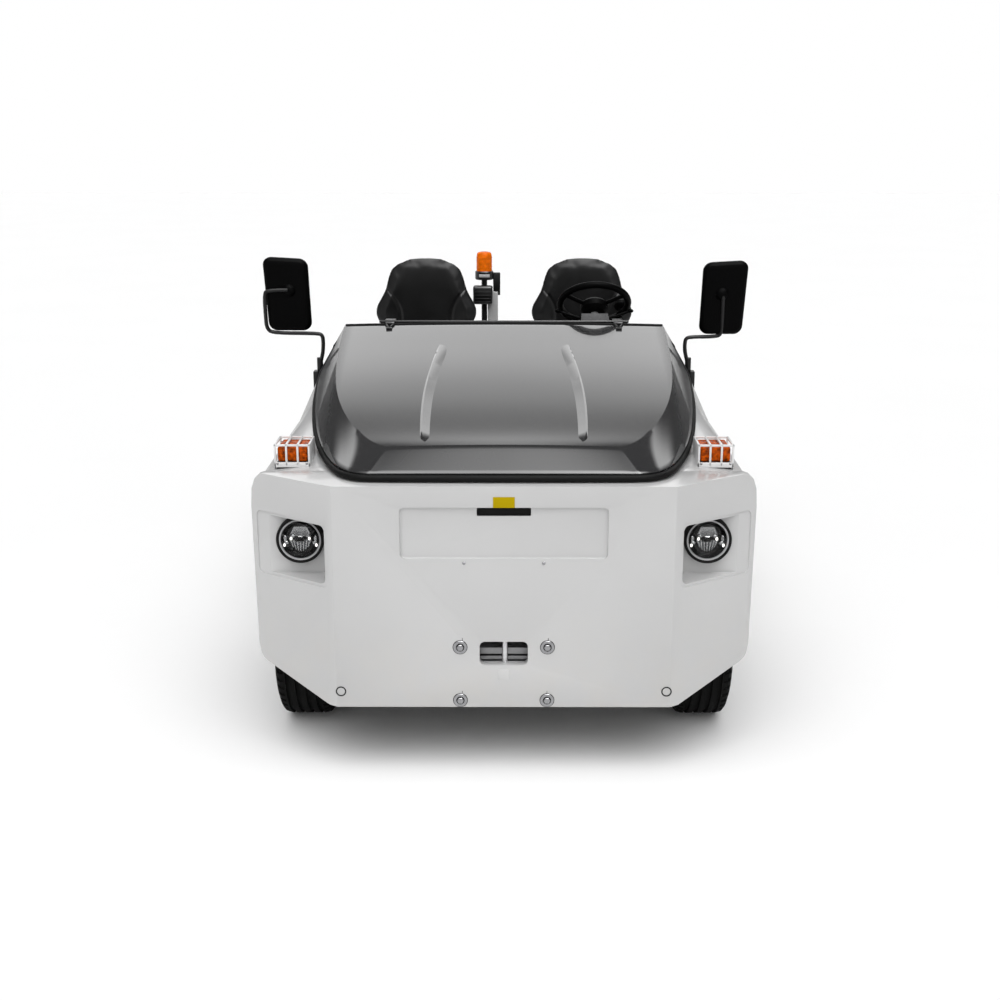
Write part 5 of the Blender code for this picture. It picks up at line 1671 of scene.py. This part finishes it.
        case = round_corners(block(f"mirror_case_{label}", (left, front + 0.012, low),
                                   (right, rear, low + MIRROR_HEIGHT)), 0.034)
        inset(case, lambda c, n: n.y < -0.9, 0.012, 0.010)
        inset(case, lambda c, n: n.y < -0.9, 0.014, 0.002)
        soften(case, 0.0025, 3, 25)
        boss_x, boss_z = left + 0.45 * (right - left), low + 0.56 * MIRROR_HEIGHT
        boss = revolve("boss", [(0, 0.014), (0.014, 0.013), (0.024, 0.006), (0.027, -0.001), (0, -0.001)],
                       (boss_x, front + 0.003, boss_z), "-Y", 32)
        show(leaning(smooth(merge(f"mirror_case_{label}", [case, boss]))), "chassis",
             "mirror_shell",
             (f"mirror_{label}",))
        glass = block(f"mirror_glass_{label}", (left + 0.007, rear - 0.002, low + 0.007),
                      (right - 0.007, rear + 0.0012, low + 0.289))
        round_corners(glass, 0.028)
        show(leaning(smooth(glass)), "chassis", "mirror")
        y = (front + rear) / 2
        high = low - 0.012
        stem = boss_x + 0.012
        path = [(0.752, y, 1.175), (0.750, y, 1.22), (0.738, y, 1.262), (0.735, y, high - 0.035),
                (0.738, y, high - 0.006),
                (0.760, y, high)]
        if side > 0:
            path += [(stem - 0.02, y, high + 0.001), (stem, y - 0.006, high + 0.012),
                     (stem, front - 0.001, low + 0.05),
                     (stem, front - 0.004, boss_z - 0.01)]
        else:
            edge = right + 0.010
            path += [(edge - 0.03, y, high + 0.001), (edge, y - 0.006, high + 0.016),
                     (edge + 0.001, front - 0.001, low + 0.06),
                     (edge + 0.002, front - 0.004, boss_z - 0.016), (edge - 0.012, front - 0.006, boss_z),
                     (stem, front - 0.006, boss_z)]
        arm = sweep(f"mirror_arm_{label}", [(side * px, py, pz) for px, py, pz in path], 0.0078)
        sleeve = disc("collar", (side * 0.751, y, 1.215), 0.0125, 0.058, "Z", 24)
        plate = block("mirror_foot", (min(side * 0.757, side * 0.778), y - 0.022, 1.10),
                      (max(side * 0.757, side * 0.778), y + 0.022, 1.19))
        parts = [smooth(arm), smooth(soften(sleeve, 0.002, 2)), smooth(soften(plate, 0.003, 2))]
        show(merge(f"mirror_arm_{label}", parts), "chassis", "pole")


# ---------------------------------------------------------------- rear body
CELL_ROWS, CELL_COLUMNS = 4, 6
SLATS = 7


class TUG_OT_rear(bpy.types.Operator):
    """Side panels, tail, deck lid, hitch, frame and battery"""
    bl_idname = "tug.rear"
    bl_label = "Rear body"

    def execute(self, context):
        edge = trim().panel_edge
        for side, label in SIDES:
            dressed(f"rear_side_{label}", f"side_panel_{label}", "body", edge)
        dressed("rear_panel", "tail_panel", "body", edge)
        dressed("deck_lid", "lid", "deck", 0.004)
        dressed("tow_hitch", "tow_jaw", "steel", 0.002, 2)
        dressed("tow_pin", "lift_pin", "zinc", 0.001, 2)
        dressed("chassis_frame", "frame_rails", "chassis", 0.004, 2)
        dressed("battery_block", "battery", "battery", 0.006, 3)
        self.tail()
        self.deck()
        self.battery_top()
        for side, label in SIDES:
            self.side(side, label)
        return {"FINISHED"}

    def tail(self):
        """Blank plate holder, round reflectors, corner buffers and the hitch bolts."""
        face = high("rear_panel").y
        holder = round_corners(block("plate_holder", (-0.265, face - 0.001, 0.655),
                                     (0.265, face + 0.006, 0.785)), 0.010)
        inset(holder, lambda c, n: n.y > 0.9, 0.006, -0.003)
        show(smooth(soften(holder, 0.0012, 2)), "chassis", "pole")
        blank = block("plate_blank", (-0.256, face + 0.002, 0.664), (0.256, face + 0.0045, 0.776))
        show(smooth(soften(round_corners(blank, 0.006), 0.0008, 2)), "chassis", "body")
        dots = []
        shells = []
        buffers = []
        bolts = []
        for side, label in SIDES:
            place = (side * 0.67, face - 0.0005, 0.70)
            dots.append(smooth(revolve("dot", [(0, 0.008), (0.020, 0.0075), (0.026, 0.005), (0.026, 0.0)],
                                       place, "Y", 40)))
            shells.append(smooth(collar("dot_rim", 0.026, 0.030, 0.032, 0.007, place, "Y", 40)))
            low_x, high_x = sorted((side * 0.60, side * 0.76))
            buffer = block("buffer", (low_x, face - 0.0005, 0.40), (high_x, face + 0.030, 0.455))
            round_corners(buffer, 0.012, axis=0)
            buffers.append(smooth(soften(buffer, 0.004, 2)))
            for z in (0.315, 0.548):
                spot = touch("tow_hitch", (side * 0.100, 2.2, z), (0, -1, 0))[0]
                bolts.append(hex_bolt("hitch_bolt", spot, 0.020, "Y"))
            for z in (0.672, 0.768):
                bolts.append(smooth(revolve("plate_screw", [(0, 0.003), (0.004, 0.0025), (0.005, 0.0)],
                                            (side * 0.236, face + 0.0045, z), "Y", 20)))
        show(merge("tail_reflectors", dots), "chassis", "red")
        show(merge("tail_reflector_rims", shells), "chassis", "pole")
        show(merge("tail_buffers", buffers), "chassis", "seal")
        show(merge("tail_bolts", bolts), "chassis", "zinc")
        a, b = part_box("tow_pin")
        x, y, top = (a.x + b.x) / 2, (a.y + b.y) / 2, b.z
        grip = ring("pin_ring", (x, y, top + 0.012), 0.017, 0.0028, "X", 40)
        show(smooth(grip), "tow_pin", "zinc")

    def deck(self):
        """Hinge leaves along the front edge, and a flush handle near the tail."""
        a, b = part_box("deck_lid")
        parts = []
        for x in (-0.52, 0.0, 0.52):
            leaf = block("leaf", (x - 0.045, a.y + 0.008, b.z - 0.0005),
                         (x + 0.045, a.y + 0.052, b.z + 0.003))
            parts.append(smooth(soften(leaf, 0.001, 2)))
            for dx in (-0.028, 0.028):
                parts.append(smooth(revolve("rivet", [(0, 0.0022), (0.003, 0.0019), (0.0048, 0.0)],
                                            (x + dx, a.y + 0.032, b.z + 0.003), "Z", 20)))
        show(merge("lid_hinge_leaves", parts), "deck_lid", "zinc")
        tray = round_corners(block("lid_handle", (-0.075, b.y - 0.125, b.z - 0.0005),
                                   (0.075, b.y - 0.065, b.z + 0.0035)), 0.012, 2)
        inset(tray, lambda c, n: n.z > 0.9, 0.006, 0.0)
        inset(tray, lambda c, n: n.z > 0.9 and abs(c.x) < 0.01, 0.0015, -0.003)
        grab = block("grab", (-0.050, b.y - 0.101, b.z + 0.0015), (0.050, b.y - 0.089, b.z + 0.0065))
        show(smooth(merge("lid_handle", [soften(tray, 0.001, 2), soften(grab, 0.002, 2)])), "deck_lid",
             "pole")

    def battery_top(self):
        """Cell caps and link bars under the lid."""
        a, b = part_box("battery_block")
        caps = []
        links = []
        for row in range(CELL_ROWS):
            for column in range(CELL_COLUMNS):
                x = a.x + 0.10 + column * (b.x - a.x - 0.20) / (CELL_COLUMNS - 1)
                y = a.y + 0.09 + row * (b.y - a.y - 0.18) / (CELL_ROWS - 1)
                caps.append(smooth(revolve("cap", [(0, 0.016), (0.015, 0.015), (0.019, 0.011),
                                                   (0.020, -0.001)], (x, y, b.z), "Z", 24)))
                if column < CELL_COLUMNS - 1:
                    bar = block("link", (x + 0.045, y + 0.042, b.z - 0.001),
                                (x + 0.115, y + 0.060, b.z + 0.008))
                    links.append(soften(bar, 0.002, 2))
        show(merge("cell_caps", caps), "chassis", "red")
        show(smooth(merge("cell_links", links)), "chassis", "smooth")

    def side(self, side, label):
        """Louvred vent and amber reflector on one rear side."""
        face = high("rear_side_left").x
        parts = []
        low_x, high_x = sorted((side * (face - 0.001), side * (face + 0.003)))
        plate = round_corners(block("vent", (low_x, 0.055, 0.690), (high_x, 0.275, 0.870)), 0.010, 0)
        parts.append(soften(plate, 0.0008, 2))
        for step in range(SLATS):
            z = 0.708 + step * 0.0225
            slat = block("slat", (low_x, 0.070, z), (high_x, 0.260, z + 0.010))
            for vertex in slat.data.vertices:
                if vertex.co.z < z + 0.005 and abs(vertex.co.x) > face:
                    vertex.co.x += side * 0.006
            parts.append(slat)
        show(smooth(merge(f"side_vent_{label}", parts)), "chassis", "pole")
        # The amber lens paint glows faintly, so this reflector carries painted light though it is no lamp.
        mark = block("side_mark", (side * (face - 0.001), 1.205, 0.585),
                     (side * (face + 0.007), 1.295, 0.620))
        face_outward(mark)
        show(smooth(soften(mark, 0.003, 3)), "chassis", "amber")


# ---------------------------------------------------------------- panel and registration
class TUG_PT_panel(bpy.types.Panel):
    """The pieces of the tug"""
    bl_label = "Baggage tug"
    bl_idname = "TUG_PT_panel"
    bl_space_type = "VIEW_3D"
    bl_region_type = "UI"
    bl_category = "Tug"

    def draw(self, context):
        for group in ("tug_look", "tug_trim", "tug_tyre", "tug_seat", "tug_stage"):
            box = self.layout.box()
            owner = getattr(context.scene, group)
            for name in owner.__annotations__:
                box.prop(owner, name)
        for operator in BUILDERS:
            self.layout.operator(operator.bl_idname)


BUILDERS = (TUG_OT_stage, TUG_OT_front, TUG_OT_hood, TUG_OT_lamps, TUG_OT_wheels, TUG_OT_seats, TUG_OT_cab,
            TUG_OT_rear)
GROUPS = (("tug_look", TugLook), ("tug_trim", TugTrim), ("tug_tyre", TugTyre), ("tug_seat", TugSeat),
          ("tug_stage", TugStage))


def register():
    for name, group in GROUPS:
        bpy.utils.register_class(group)
        setattr(bpy.types.Scene, name, PointerProperty(type=group))
    for item in (*BUILDERS, TUG_PT_panel):
        bpy.utils.register_class(item)


def unregister():
    for item in reversed((*BUILDERS, TUG_PT_panel)):
        bpy.utils.unregister_class(item)
    for name, group in reversed(GROUPS):
        delattr(bpy.types.Scene, name)
        bpy.utils.unregister_class(group)


def main():
    register()
    prepare_paints(look())
    bpy.ops.tug.stage()
    bpy.ops.tug.front()
    bpy.ops.tug.hood()
    bpy.ops.tug.lamps()
    bpy.ops.tug.wheels()
    bpy.ops.tug.seats()
    bpy.ops.tug.cab()
    bpy.ops.tug.rear()


if __name__ == "__main__":
    main()
